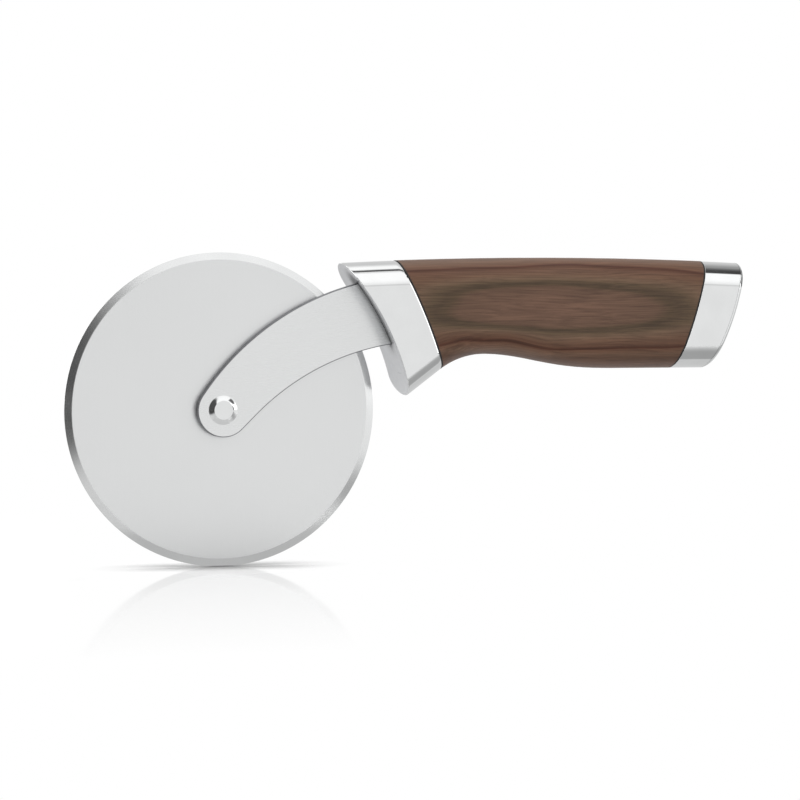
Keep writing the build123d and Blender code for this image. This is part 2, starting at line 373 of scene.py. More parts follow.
@dataclass(frozen=True)
class PlainFinish:
    """A quiet finish for the small pieces that hardly show.

    To the eye: one colour, slightly mottled. The mottling is drawn coarser than the
    real grain, which is too fine to show.
    """

    name: str
    colour: str
    dark_colour: str
    metallic: float = 0.0
    roughness: float = 0.5
    grain_mm: float = 0.8
    grain_detail: float = 4.0
    tone_limits: tuple[float, float] = (0.3, 0.7)
    bump_mm: float = 0.01
    bump_strength: float = 0.2

    def material(self) -> bpy.types.Material:
        """Build the material.

        Returns:
            The finished material.
        """
        material, sheet = node_material(self.name)
        place = sheet.add("ShaderNodeTexCoord").outputs["Object"]
        grain = sheet.add("ShaderNodeTexNoise", {
            "Vector": place, "Scale": 1 / (self.grain_mm * MM), "Detail": self.grain_detail,
        }).outputs["Fac"]
        colour = sheet.add("ShaderNodeValToRGB", {"Fac": grain}, (
            (self.tone_limits[0], self.dark_colour), (self.tone_limits[1], self.colour),
        )).outputs["Color"]
        bump = sheet.add("ShaderNodeBump", {
            "Height": grain, "Strength": self.bump_strength, "Distance": self.bump_mm * MM,
        }).outputs[0]
        shader = sheet.add("ShaderNodeBsdfPrincipled", {
            "Base Color": colour, "Metallic": self.metallic, "Roughness": self.roughness, "Normal": bump,
        })
        sheet.add("ShaderNodeOutputMaterial", {"Surface": shader.outputs[0]})
        return material


@dataclass(frozen=True)
class Walnut:
    """Walnut, sanded fine and oiled.

    To the eye: brown with olive and red-brown growth rings that close in a long
    figure on the grip's side, fine pale and dark fibres along it, short pores,
    and a soft grey sheen where it turns away. Single fibres are too thin to show,
    so they are drawn in bundles.
    """

    name: str = "walnut_oiled"
    growth: Stops = (
        (0.0, "775847"), (0.2, "725544"), (0.315, "6b503f"), (0.36, "564431"), (0.39, "534130"),
        (0.43, "5f4c38"), (0.49, "755b47"), (0.55, "6c4f3c"), (0.64, "5f3f2d"), (0.674, "482413"),
        (0.698, "6a4936"), (0.77, "6d5240"), (0.84, "5a4030"), (1.0, "664c3d"),
    )
    growth_reach: float = 2.6
    middle_x_mm: float = 2.0
    middle_z_mm: float = 1.0
    figure_length_mm: float = 43.0
    figure_height_mm: float = 7.6
    figure_depth_mm: float = 60.0
    flattening: float = 0.4
    drift_mm: Triple = (71.43, 25.0, 16.667)
    drift_detail: float = 2.0
    drift_reach_mm: Triple = (30.0, 10.0, 5.0)
    lift_x_mm: float = -24.0
    lift_mm: float = 2.6
    lift_spans_mm: tuple[float, float] = (23.0, 5.0)
    lift_heights_mm: tuple[float, float] = (-3.0, -9.0)
    fibre_width_mm: float = 0.45
    fibre_length_mm: float = 22.0
    fibre_detail: float = 4.0
    fibre_limits: tuple[float, float] = (0.3, 0.7)
    fibre_tones: tuple[float, float] = (0.7, 1.3)
    pore_width_mm: float = 0.16
    pore_length_mm: float = 3.2
    pore_detail: float = 1.0
    pore_limits: tuple[float, float] = (0.66, 0.76)
    pore_share: float = 0.4
    pore_colour: str = "35251c"
    bump_mm: float = 0.03
    bump_strength: float = 0.3
    roughness: float = 0.48
    specular: float = 0.3

    def material(self) -> bpy.types.Material:
        """Build the material.

        Returns:
            The finished material.
        """
        material, sheet = node_material(self.name)
        place = sheet.add("ShaderNodeTexCoord").outputs["Object"]
        pushed = self.drifted(sheet, place)
        rings = sheet.add("ShaderNodeMapping", {
            "Vector": pushed,
            "Location": (-self.middle_x_mm / self.figure_length_mm, 0.0,
                         -self.middle_z_mm / self.figure_height_mm),
            "Scale": (1 / (self.figure_length_mm * MM), 1 / (self.figure_depth_mm * MM),
                      1 / (self.figure_height_mm * MM)),
        }).outputs["Vector"]
        spread = sheet.add("ShaderNodeMapRange", {
            "Value": self.ring_number(sheet, rings), "From Min": 0.0, "From Max": self.growth_reach,
        }).outputs[0]
        growth = sheet.add("ShaderNodeValToRGB", {"Fac": spread}, self.growth).outputs["Color"]
        fibre = self.streaks(sheet, pushed, self.fibre_length_mm, self.fibre_width_mm, self.fibre_detail)
        tone = sheet.add("ShaderNodeMapRange", {
            "Value": fibre, "From Min": self.fibre_limits[0], "From Max": self.fibre_limits[1],
            "To Min": self.fibre_tones[0], "To Max": self.fibre_tones[1],
        }).outputs[0]
        toned = sheet.add("ShaderNodeVectorMath", {0: growth, "Scale": tone}, operation="SCALE").outputs[0]
        pore = self.streaks(sheet, pushed, self.pore_length_mm, self.pore_width_mm, self.pore_detail)
        pores = sheet.add("ShaderNodeMapRange", {
            "Value": pore, "From Min": self.pore_limits[0], "From Max": self.pore_limits[1],
        }).outputs[0]
        shown = sheet.add("ShaderNodeMath", {0: pores, 1: self.pore_share}, operation="MULTIPLY").outputs[0]
        colour = sheet.add("ShaderNodeMix", {
            0: shown, 6: toned, 7: linear(self.pore_colour),
        }, data_type="RGBA").outputs[2]
        height = sheet.add("ShaderNodeMath", {0: fibre, 1: pores}, operation="SUBTRACT").outputs[0]
        bump = sheet.add("ShaderNodeBump", {
            "Height": height, "Strength": self.bump_strength, "Distance": self.bump_mm * MM,
        }).outputs[0]
        shader = sheet.add("ShaderNodeBsdfPrincipled", {
            "Base Color": colour, "Roughness": self.roughness, "Normal": bump,
            "Specular IOR Level": self.specular,
        })
        sheet.add("ShaderNodeOutputMaterial", {"Surface": shader.outputs[0]})
        return material

    @staticmethod
    def streaks(sheet: NodeSheet, place: bpy.types.NodeSocket, length_mm: float, width_mm: float,
                detail: float) -> bpy.types.NodeSocket:
        """Noise drawn out along the handle, as fibres and pores are.

        Args:
            sheet: The material's tree.
            place: Where it is read.
            length_mm: Length of a streak.
            width_mm: Width of a streak.
            detail: How much finer noise it carries.

        Returns:
            The noise.
        """
        across = 1 / (width_mm * MM)
        drawn = sheet.add("ShaderNodeMapping", {
            "Vector": place, "Scale": (1 / (length_mm * MM), across, across),
        }).outputs["Vector"]
        return sheet.add("ShaderNodeTexNoise", {
            "Vector": drawn, "Scale": 1.0, "Detail": detail,
        }).outputs["Fac"]

    def drifted(self, sheet: NodeSheet, place: bpy.types.NodeSocket) -> bpy.types.NodeSocket:
        """Places pushed about by a slow noise, so that rings and fibres wander.

        Args:
            sheet: The material's tree.
            place: Object coordinates.

        Returns:
            The changed places.
        """
        wander = sheet.add("ShaderNodeMapping", {
            "Vector": place, "Scale": tuple(1 / (size * MM) for size in self.drift_mm),
        }).outputs["Vector"]
        drift = sheet.add("ShaderNodeTexNoise", {
            "Vector": wander, "Scale": 1.0, "Detail": self.drift_detail,
        }).outputs["Color"]
        shift = sheet.add("ShaderNodeVectorMath", {
            0: drift, 1: NOISE_MIDDLE,
        }, operation="SUBTRACT").outputs[0]
        return sheet.add("ShaderNodeVectorMath", {
            0: shift, 1: tuple(reach * MM for reach in self.drift_reach_mm), 2: self.lowered(sheet, place),
        }, operation="MULTIPLY_ADD").outputs[0]

    def lowered(self, sheet: NodeSheet, place: bpy.types.NodeSocket) -> bpy.types.NodeSocket:
        """Places drawn down above the finger notch, so that the lower rings rise over it.

        Args:
            sheet: The material's tree.
            place: Object coordinates.

        Returns:
            The changed places.
        """
        split = sheet.add("ShaderNodeSeparateXYZ", {0: place}).outputs
        away = sheet.add("ShaderNodeMath", {
            0: split[0], 1: self.lift_x_mm * MM,
        }, operation="SUBTRACT").outputs[0]
        span = sheet.add("ShaderNodeMath", {0: away}, operation="ABSOLUTE").outputs[0]
        shares = [
            sheet.add("ShaderNodeMapRange", {
                "Value": value, "From Min": start * MM, "From Max": end * MM,
            }, interpolation_type="SMOOTHSTEP").outputs[0]
            for value, (start, end) in ((span, self.lift_spans_mm), (split[2], self.lift_heights_mm))
        ]
        both = sheet.add("ShaderNodeMath", {0: shares[0], 1: shares[1]}, operation="MULTIPLY").outputs[0]
        upright = sheet.add("ShaderNodeCombineXYZ", {2: both}).outputs[0]
        return sheet.add("ShaderNodeVectorMath", {
            0: upright, 1: (0.0, 0.0, -self.lift_mm * MM), 2: place,
        }, operation="MULTIPLY_ADD").outputs[0]

    def ring_number(self, sheet: NodeSheet, rings: bpy.types.NodeSocket) -> bpy.types.NodeSocket:
        """Distance from the figure's middle, in rings that grow flatter outwards.

        Args:
            sheet: The material's tree.
            rings: Places in shares of the inner figure's size.

        Returns:
            The distance.
        """
        squares = sheet.add("ShaderNodeVectorMath", {0: rings, 1: rings}, operation="MULTIPLY").outputs[0]
        x, y, z = sheet.add("ShaderNodeSeparateXYZ", {0: squares}).outputs
        flat = sheet.add("ShaderNodeMath", {
            0: z, 1: self.flattening, 2: 1.0,
        }, operation="MULTIPLY_ADD").outputs[0]
        along = sheet.add("ShaderNodeMath", {0: x, 1: flat}, operation="DIVIDE").outputs[0]
        side = sheet.add("ShaderNodeMath", {0: y, 1: z}, operation="ADD").outputs[0]
        total = sheet.add("ShaderNodeMath", {0: along, 1: side}, operation="ADD").outputs[0]
        return sheet.add("ShaderNodeMath", {0: total}, operation="SQRT").outputs[0]


def soft_shading(piece: bpy.types.Object) -> None:
    """Shade a piece smooth, with flat faces that stay flat up to their roundings.

    Args:
        piece: The piece to shade.
    """
    piece.data.shade_smooth()
    piece.data.set_sharp_from_angle(angle=SHARP_ANGLE)
    modifier = piece.modifiers.new("weighted", "WEIGHTED_NORMAL")
    modifier.keep_sharp = True
    apply_modifiers(piece)


def add_object(name: str, data: bpy.types.ID) -> bpy.types.Object:
    """Put a mesh, a lamp or a camera into the scene as an object at the origin.

    Args:
        name: The object's name.
        data: What the object shows.

    Returns:
        The new object.
    """
    thing = bpy.data.objects.new(name, data)
    bpy.context.scene.collection.objects.link(thing)
    return thing


def aim(thing: bpy.types.Object, place: Triple, target: Triple) -> None:
    """Place a lamp or a camera and turn it to a target.

    Args:
        thing: What is placed.
        place: Its place.
        target: What it looks at.
    """
    thing.location = place
    line = Vector(target) - Vector(place)
    thing.rotation_euler = line.to_track_quat("-Z", "Y").to_euler()


@dataclass(frozen=True)
class Cut:
    """Crowned cut across the handle: a circle in the side view, bulged along Y."""

    x: float
    z: float
    radius: float
    crown: float = 0.062

    def at(self, y: np.ndarray, z: np.ndarray) -> np.ndarray:
        """X of the cut's surface.

        Args:
            y: Distances from the handle's middle plane.
            z: Heights.

        Returns:
            The X of each point.
        """
        rim = self.radius - self.crown + np.sqrt(self.crown ** 2 - y ** 2)
        return self.x + np.sqrt(rim ** 2 - (z - self.z) ** 2)

    def point_x(self, y: float, z: float) -> float:
        """X of one point of the cut's surface."""
        return float(self.at(np.array(y), np.array(z)))

    def moved(self, step: float) -> "Cut":
        """The same cut with its surface moved along the handle.

        Args:
            step: How far, towards the rear.

        Returns:
            The moved cut.
        """
        return Cut(self.x, self.z, self.radius + step, self.crown)


@dataclass(frozen=True)
class HandleForm:
    """Section and lines of the whole handle, from the bolster to the end cap."""

    half_width: float = 0.01175
    arc_half_width: float = 0.01178
    rise: float = 0.0087
    top_height: float = 0.048495 + AXLE_Z
    top_peak_x: float = 0.0
    top_radius: float = 1.4
    notch_x: float = 0.0863 + AXLE_X
    notch_height: float = 0.0173 + AXLE_Z
    notch_radius: float = 0.026
    ramp: float = math.radians(36.9)
    belly_height: float = 0.0124 + AXLE_Z
    tail_length: float = 0.05
    arc_steps: int = 40
    side_steps: int = 16
    solve_steps: int = 9

    def topline(self, x: np.ndarray) -> np.ndarray:
        """Height of the handle's top.

        Args:
            x: Places along the handle.

        Returns:
            The heights.
        """
        away = x - self.top_peak_x
        return self.top_height - self.top_radius + np.sqrt(self.top_radius ** 2 - away ** 2)

    def underside(self, x: np.ndarray) -> np.ndarray:
        """Height of the handle's lowest line: ramp, finger notch, then belly.

        Args:
            x: Places along the handle.

        Returns:
            The heights.
        """
        ahead = self.notch_x - x
        run = self.notch_radius * math.sin(self.ramp)
        drop = self.notch_radius * (1 - math.cos(self.ramp))
        ramp = self.notch_height - drop - (ahead - run) * math.tan(self.ramp)
        inside = np.clip(ahead, 0.0, run)
        notch = self.notch_height - self.notch_radius + np.sqrt(self.notch_radius ** 2 - inside ** 2)
        share = np.clip(-ahead / self.tail_length, 0.0, 1.0)
        swell = ((1 + np.cos(math.pi * share)) / 2) ** 2
        belly = self.belly_height + (self.notch_height - self.belly_height) * swell
        return np.where(ahead > run, ramp, np.where(ahead > 0, notch, belly))

    def rim(self, inset: float) -> tuple[np.ndarray, np.ndarray, np.ndarray]:
        """Points once round a section, without their X.

        Args:
            inset: How far the section is drawn in.

        Returns:
            Their Y, their share of the top line, and their height beyond the arc's middle.
        """
        half = self.half_width - inset
        arc_half = self.arc_half_width - inset
        rise = self.rise - inset
        start = math.acos(min(1.0, half / arc_half))
        turn = np.linspace(start, math.pi - start, self.arc_steps)
        side = np.linspace(0.0, 1.0, self.side_steps)[1:-1]
        low_off, high_off = -rise * math.sin(start), rise * math.sin(start)
        y = np.concatenate([-arc_half * np.cos(turn), np.full(side.size, half),
                            arc_half * np.cos(turn), np.full(side.size, -half)])
        top = np.concatenate([np.ones(turn.size), 1 - side, np.zeros(turn.size), side])
        off = np.concatenate([rise * np.sin(turn), high_off + (low_off - high_off) * side,
                              -rise * np.sin(turn), low_off + (high_off - low_off) * side])
        return y, top, off

    def height(self, x: np.ndarray, top: np.ndarray, off: np.ndarray) -> np.ndarray:
        """Heights of section points at given places.

        Args:
            x: Place of each point along the handle.
            top: Share of the top line.
            off: Height beyond the arc's middle.

        Returns:
            The heights.
        """
        high = self.topline(x) - self.rise
        low = self.underside(x) + self.rise
        return top * high + (1 - top) * low + off

    def ring(self, cut: Cut, inset: float) -> np.ndarray:
        """Points where a cut meets the handle's drawn-in form.

        Args:
            cut: The cut.
            inset: How far the form is drawn in.

        Returns:
            One row of X, Y and Z for each point.
        """
        y, top, off = self.rim(inset)
        x = np.full(y.size, cut.x + cut.radius)
        for _ in range(self.solve_steps):
            x = cut.at(y, self.height(x, top, off))
        return np.stack([x, y, self.height(x, top, off)], axis=1)

    def between(self, start: np.ndarray, end: np.ndarray, share: float, inset: float) -> np.ndarray:
        """Ring of the handle's form between two rings of the same inset.

        Args:
            start: The front ring.
            end: The rear ring.
            share: Zero at the front and one at the rear.
            inset: How far the form is drawn in.

        Returns:
            The ring between them.
        """
        y, top, off = self.rim(inset)
        x = start[:, 0] * (1 - share) + end[:, 0] * share
        return np.stack([x, y, self.height(x, top, off)], axis=1)


class ShellBuilder:
    """Mesh made of rings of the same point count, joined one to the next."""

    def __init__(self, name: str) -> None:
        """Start an empty shell.

        Args:
            name: The piece's name.
        """
        self.name = name
        self.build = bmesh.new()
        self.slot = 0
        self.last: list[bmesh.types.BMVert] = []
        self.first: list[bmesh.types.BMVert] = []

    def ring(self, points: np.ndarray) -> None:
        """Add a ring and join it to the one before.

        Args:
            points: One row for each point.
        """
        fresh = [self.build.verts.new(point) for point in points.tolist()]
        if self.last:
            self.join(self.last, fresh)
        else:
            self.first = fresh
        self.last = fresh

    def face(self, corners: list[bmesh.types.BMVert]) -> None:
        """Add a face in the finish that is in use.

        Args:
            corners: Its corners in order.
        """
        self.build.faces.new(corners).material_index = self.slot

    def join(self, old: list[bmesh.types.BMVert], new: list[bmesh.types.BMVert]) -> None:
        """Join two rings with four-sided faces.

        Args:
            old: The earlier ring.
            new: The later ring.
        """
        count = len(old)
        for i in range(count):
            j = (i + 1) % count
            self.face([old[i], old[j], new[j], new[i]])

    def close_loop(self) -> None:
        """Join the last ring to the first, for a hollow band."""
        self.join(self.last, self.first)

    def close_flat(self) -> None:
        """Close the first and the last ring with a flat face each."""
        self.face(self.first)
        self.face(self.last)

    def close_end(self, ring: list[bmesh.types.BMVert], arc_steps: int) -> None:
        """Close a ring whose two sides mirror each other with faces across it.

        Args:
            ring: The ring to close.
            arc_steps: Points on its upper arc, with which the ring starts.
        """
        count = len(ring)
        middle = arc_steps // 2
        near = [ring[(middle - 1 - i) % count] for i in range(count // 2)]
        far = [ring[(middle + i) % count] for i in range(count // 2)]
        for i in range(count // 2 - 1):
            self.face([near[i], near[i + 1], far[i + 1], far[i]])

    def finish(self, materials: list[bpy.types.Material]) -> bpy.types.Object:
        """Turn the shell into an object.

        Args:
            materials: Its finishes, in the order of their numbers.

        Returns:
            The object, not yet shaded.
        """
        bmesh.ops.recalc_face_normals(self.build, faces=self.build.faces[:])
        mesh = bpy.data.meshes.new(self.name)
        self.build.to_mesh(mesh)
        self.build.free()
        for material in materials:
            mesh.materials.append(material)
        return add_object(self.name, mesh)


def cut_away(piece: bpy.types.Object, tool: bpy.types.Object) -> None:
    """Take a tool's form out of a piece, and the tool out of the scene.

    Args:
        piece: The piece to cut.
        tool: The closed form to take away.
    """
    modifier = piece.modifiers.new("cut", "BOOLEAN")
    modifier.operation = "DIFFERENCE"
    modifier.solver = "EXACT"
    modifier.object = tool
    apply_modifiers(piece)
    bpy.data.objects.remove(tool)


def apply_modifiers(piece: bpy.types.Object) -> None:
    """Turn a piece with its modifiers into a plain mesh.

    Args:
        piece: The piece to convert.
    """
    graph = bpy.context.evaluated_depsgraph_get()
    mesh = bpy.data.meshes.new_from_object(piece.evaluated_get(graph))
    piece.modifiers.clear()
    old = piece.data
    piece.data = mesh
    mesh.name = piece.name
    bpy.data.meshes.remove(old)


@dataclass(frozen=True)
class TurnedPiece:
    """Piece turned about the wheel's axle, made by Geometry Nodes from its profile.

    A closed profile makes a ring, an open one starts and ends on the axle. Faces
    beyond the rim's start get a finish of their own.
    """

    name: str
    profile: list[tuple[float, float]]
    rim_start: float = 1.0
    closed: bool = True
    centre: Triple = (AXLE_X, 0.0, AXLE_Z)
    segments: int = 360
    weld: float = 1e-7

    def tree(self) -> bpy.types.NodeTree:
        """Build the tree that carries a profile once round the axle.

        Returns:
            The node tree.
        """
        tree = bpy.data.node_groups.new("turned_piece", "GeometryNodeTree")
        sheet = NodeSheet(tree)
        sockets = [
            ("Geometry", "INPUT", "NodeSocketGeometry"), ("Segments", "INPUT", "NodeSocketInt"),
            ("Centre", "INPUT", "NodeSocketVector"), ("Rim Start", "INPUT", "NodeSocketFloat"),
            ("Face Finish", "INPUT", "NodeSocketMaterial"), ("Rim Finish", "INPUT", "NodeSocketMaterial"),
            ("Geometry", "OUTPUT", "NodeSocketGeometry"),
        ]
        for label, side, kind in sockets:
            tree.interface.new_socket(label, in_out=side, socket_type=kind)
        given = sheet.add("NodeGroupInput").outputs
        grid = self.turned_grid(sheet, given)
        merged = sheet.add("GeometryNodeMergeByDistance", {
            "Geometry": grid, "Distance": self.weld,
        }).outputs[0]
        real = sheet.add("GeometryNodeRealizeInstances", {"Geometry": merged}).outputs[0]
        face = sheet.add("GeometryNodeSetMaterial", {
            "Geometry": real, "Material": given["Face Finish"],
        }).outputs[0]
        rim = sheet.add("GeometryNodeSetMaterial", {
            "Geometry": face, "Selection": self.beyond_rim(sheet, given), "Material": given["Rim Finish"],
        }).outputs[0]
        sheet.add("NodeGroupOutput", {"Geometry": rim})
        return tree

    def turned_grid(self, sheet: NodeSheet, given: bpy.types.NodeOutputs) -> bpy.types.NodeSocket:
        """A grid with one column for each turn of the profile, carried round the axle.

        Args:
            sheet: The tree to build in.
            given: The tree's inputs.

        Returns:
            The grid, its seam still open.
        """
        points = sheet.add("GeometryNodeAttributeDomainSize", {
            0: given["Geometry"],
        }, component="MESH").outputs[0]
        columns = sheet.add("ShaderNodeMath", {0: given["Segments"], 1: 1.0}, operation="ADD").outputs[0]
        rows = sheet.add("ShaderNodeMath", {0: points, 1: float(self.closed)}, operation="ADD").outputs[0]
        grid = sheet.add("GeometryNodeMeshGrid", {"Vertices X": rows, "Vertices Y": columns}).outputs[0]
        index = sheet.add("GeometryNodeInputIndex").outputs[0]
        over = sheet.add("ShaderNodeMath", {0: index, 1: columns}, operation="DIVIDE").outputs[0]
        row = sheet.add("ShaderNodeMath", {0: over}, operation="FLOOR").outputs[0]
        column = sheet.add("ShaderNodeMath", {0: index, 1: columns}, operation="MODULO").outputs[0]
        spot = sheet.add("ShaderNodeMath", {0: row, 1: points}, operation="MODULO").outputs[0]
        place = sheet.add("GeometryNodeInputPosition").outputs[0]
        profile = sheet.add("GeometryNodeSampleIndex", {
            "Geometry": given["Geometry"], "Value": place, "Index": spot,
        }, data_type="FLOAT_VECTOR").outputs[0]
        share = sheet.add("ShaderNodeMath", {
            0: column, 1: given["Segments"],
        }, operation="DIVIDE").outputs[0]
        turn = sheet.add("ShaderNodeMath", {0: share, 1: math.tau}, operation="MULTIPLY").outputs[0]
        rolled = sheet.add("ShaderNodeVectorRotate", {
            "Vector": profile, "Angle": turn,
        }, rotation_type="Y_AXIS").outputs[0]
        moved = sheet.add("ShaderNodeVectorMath", {
            0: rolled, 1: given["Centre"],
        }, operation="ADD").outputs[0]
        return sheet.add("GeometryNodeSetPosition", {"Geometry": grid, "Position": moved}).outputs[0]

    @staticmethod
    def beyond_rim(sheet: NodeSheet, given: bpy.types.NodeOutputs) -> bpy.types.NodeSocket:
        """True where a face lies further from the axle than the rim's start.

        Args:
            sheet: The tree to build in.
            given: The tree's inputs.

        Returns:
            The selection.
        """
        place = sheet.add("GeometryNodeInputPosition").outputs[0]
        spoke = sheet.add("ShaderNodeVectorMath", {
            0: place, 1: given["Centre"],
        }, operation="SUBTRACT").outputs[0]
        flat = sheet.add("ShaderNodeVectorMath", {
            0: spoke, 1: (1.0, 0.0, 1.0),
        }, operation="MULTIPLY").outputs[0]
        reach = sheet.add("ShaderNodeVectorMath", {0: flat}, operation="LENGTH").outputs["Value"]
        return sheet.add("FunctionNodeCompare", {
            0: reach, 1: given["Rim Start"],
        }, operation="GREATER_THAN").outputs[0]

    def build(self, face: bpy.types.Material, rim: bpy.types.Material) -> bpy.types.Object:
        """Build the piece.

        Args:
            face: Finish up to the rim.
            rim: Finish of the rim.

        Returns:
            The piece, a plain mesh in place.
        """
        mesh = bpy.data.meshes.new(self.name)
        edges = [(i, i + 1) for i in range(len(self.profile) - 1)]
        mesh.from_pydata([(radius, y, 0.0) for radius, y in self.profile], edges, [])
        piece = add_object(self.name, mesh)
        modifier = piece.modifiers.new("turned", "NODES")
        tree = self.tree()
        modifier.node_group = tree
        values = {
            "Segments": self.segments, "Centre": self.centre, "Rim Start": self.rim_start,
            "Face Finish": face, "Rim Finish": rim,
        }
        for item in tree.interface.items_tree:
            if item.in_out == "INPUT" and item.name in values:
                modifier[item.identifier] = values[item.name]
        apply_modifiers(piece)
        build = bmesh.new()
        build.from_mesh(piece.data)
        bmesh.ops.recalc_face_normals(build, faces=build.faces[:])
        build.to_mesh(piece.data)
        build.free()
        soft_shading(piece)
        return piece


@dataclass(frozen=True)
class Wheel:
    """The round blade: satin faces and a ground bevel."""

    radius: float = 0.04998
    bore: float = 0.0045
    bevel: float = 0.0024
    land: float = 0.0003
    front: float = 0.00215
    back: float = 0.00355
    edge_break: float = 0.00006
    support: float = 0.0003

    def profile(self) -> list[tuple[float, float]]:
        """Outline of the blade's section, from the front of the bore round to its back.

        Returns:
            Radius and Y of each point.
        """
        middle = (self.front + self.back) / 2
        start = self.radius - self.bevel
        slope = (middle - self.land / 2 - self.front) / self.bevel
        half = [
            (self.bore, 0.0), (start - self.support, 0.0), (start - self.edge_break, 0.0),
            (start, self.edge_break * slope / 2), (start + self.edge_break, self.edge_break * slope),
            (start + self.support, self.support * slope),
            (self.radius - self.support, (self.bevel - self.support) * slope),
            (self.radius, self.bevel * slope),
        ]
        front = [(radius, self.front + depth) for radius, depth in half]
        back = [(radius, self.back - depth) for radius, depth in reversed(half)]
        return front + back

    def build(self, face: bpy.types.Material, rim: bpy.types.Material) -> None:
        """Build the blade and let it stand for its CAD node.

        Args:
            face: Finish of the faces.
            rim: Finish of the bevel.
        """
        piece = TurnedPiece("blade_disc", self.profile(), self.radius - self.bevel).build(face, rim)
        stand_for(piece, Node.BLADE, Body.WHEEL)


@dataclass(frozen=True)
class Rivet:
    """Front rivet with its stem, and the rear head: domed shoulders round a flat top."""

    rim: float = 0.00465
    flat: float = 0.003
    height: float = 0.001
    lip: float = 0.00025
    bulge: float = 0.47
    flat_edge: float = 0.00006
    seat: float = 0.0016
    shank: float = 0.003
    spigot: float = 0.002
    bore: float = 0.00202
    shoulder: float = 0.00485
    rear: float = 0.00585
    steps: int = 10
    segments: int = 180

    def dome(self, side: float, seat: float) -> list[tuple[float, float]]:
        """Shoulder of a head, from its lip to just inside its flat top.

        Args:
            side: Direction of the top along Y, one or minus one.
            seat: Y of the head's seat.

        Returns:
            Radius and Y of each point.
        """
        start = Vector((self.rim, seat + side * self.lip))
        end = Vector((self.flat, seat + side * self.height))
        middle = Vector((self.flat + (self.rim - self.flat) * self.bulge,
                         start.y + (end.y - start.y) * self.bulge))
        centre = circle_centre(start, middle, end)
        first = math.atan2(start.y - centre.y, start.x - centre.x)
        last = math.atan2(end.y - centre.y, end.x - centre.x)
        radius = (start - centre).length
        turns = [first + (last - first) * i / self.steps for i in range(self.steps + 1)]
        points = [(centre.x + radius * math.cos(turn), centre.y + radius * math.sin(turn))
                  for turn in turns]
        return points + [(self.flat - self.flat_edge, end.y)]

    def build(self, finish: bpy.types.Material) -> None:
        """Build both pieces and let them stand for their CAD nodes.

        Args:
            finish: Their finish.
        """
        top = [(0.0, -self.seat - self.height)]
        front = [(self.rim, -self.seat)] + self.dome(-1.0, -self.seat) + top
        stem = [(0.0, self.rear), (self.spigot, self.rear), (self.spigot, self.shoulder),
                (self.shank, self.shoulder), (self.shank, -self.seat)]
        pin = TurnedPiece("rivet_front", stem + front, closed=False, segments=self.segments)
        stand_for(pin.build(finish, finish), Node.AXLE_PIN, Body.HANDLE)
        back_seat = self.rear - self.height
        under = [(self.bore, back_seat), (self.rim, back_seat)]
        back = under + self.dome(1.0, back_seat) + [(self.bore, self.rear)]
        cap = TurnedPiece("rivet_rear", back, segments=self.segments)
        stand_for(cap.build(finish, finish), Node.AXLE_CAP, Body.HANDLE)


def circle_centre(first: Vector, second: Vector, third: Vector) -> Vector:
    """Centre of the circle through three points of a plane.

    Args:
        first: One point.
        second: Another point.
        third: The last point.

    Returns:
        The centre.
    """
    points = (first, second, third)
    gaps = [(q.x - r.x, q.y - r.y) for q, r in ((second, third), (third, first), (first, second))]
    span = 2 * sum(point.x * gap[1] for point, gap in zip(points, gaps))
    x = sum(point.length_squared * gap[1] for point, gap in zip(points, gaps)) / span
    y = -sum(point.length_squared * gap[0] for point, gap in zip(points, gaps)) / span
    return Vector((x, y))


def stand_for(piece: bpy.types.Object, node: Node, body: Body) -> None:
    """Let a piece take a CAD node's place.

    Args:
        piece: The piece.
        node: The node that it stands for.
        body: The body that it moves with.
    """
    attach(piece, body.value)
    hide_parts(node.value)
    LOG.info("built %s for %s", piece.name, node.value)


# The bolster's front face, its joint with the wood, the wood's with the cap, and the rear end.
FACE_CUT = Cut(-0.0209 + AXLE_X, -0.0101 + AXLE_Z, 0.082)
JOINT_CUT = Cut(-0.0813 + AXLE_X, -0.031 + AXLE_Z, 0.1585)
CAP_CUT = Cut(0.0277 + AXLE_X, 0.0689 + AXLE_Z, 0.1339)
REAR_CUT = Cut(0.0939 + AXLE_X, 0.0546 + AXLE_Z, 0.0799)


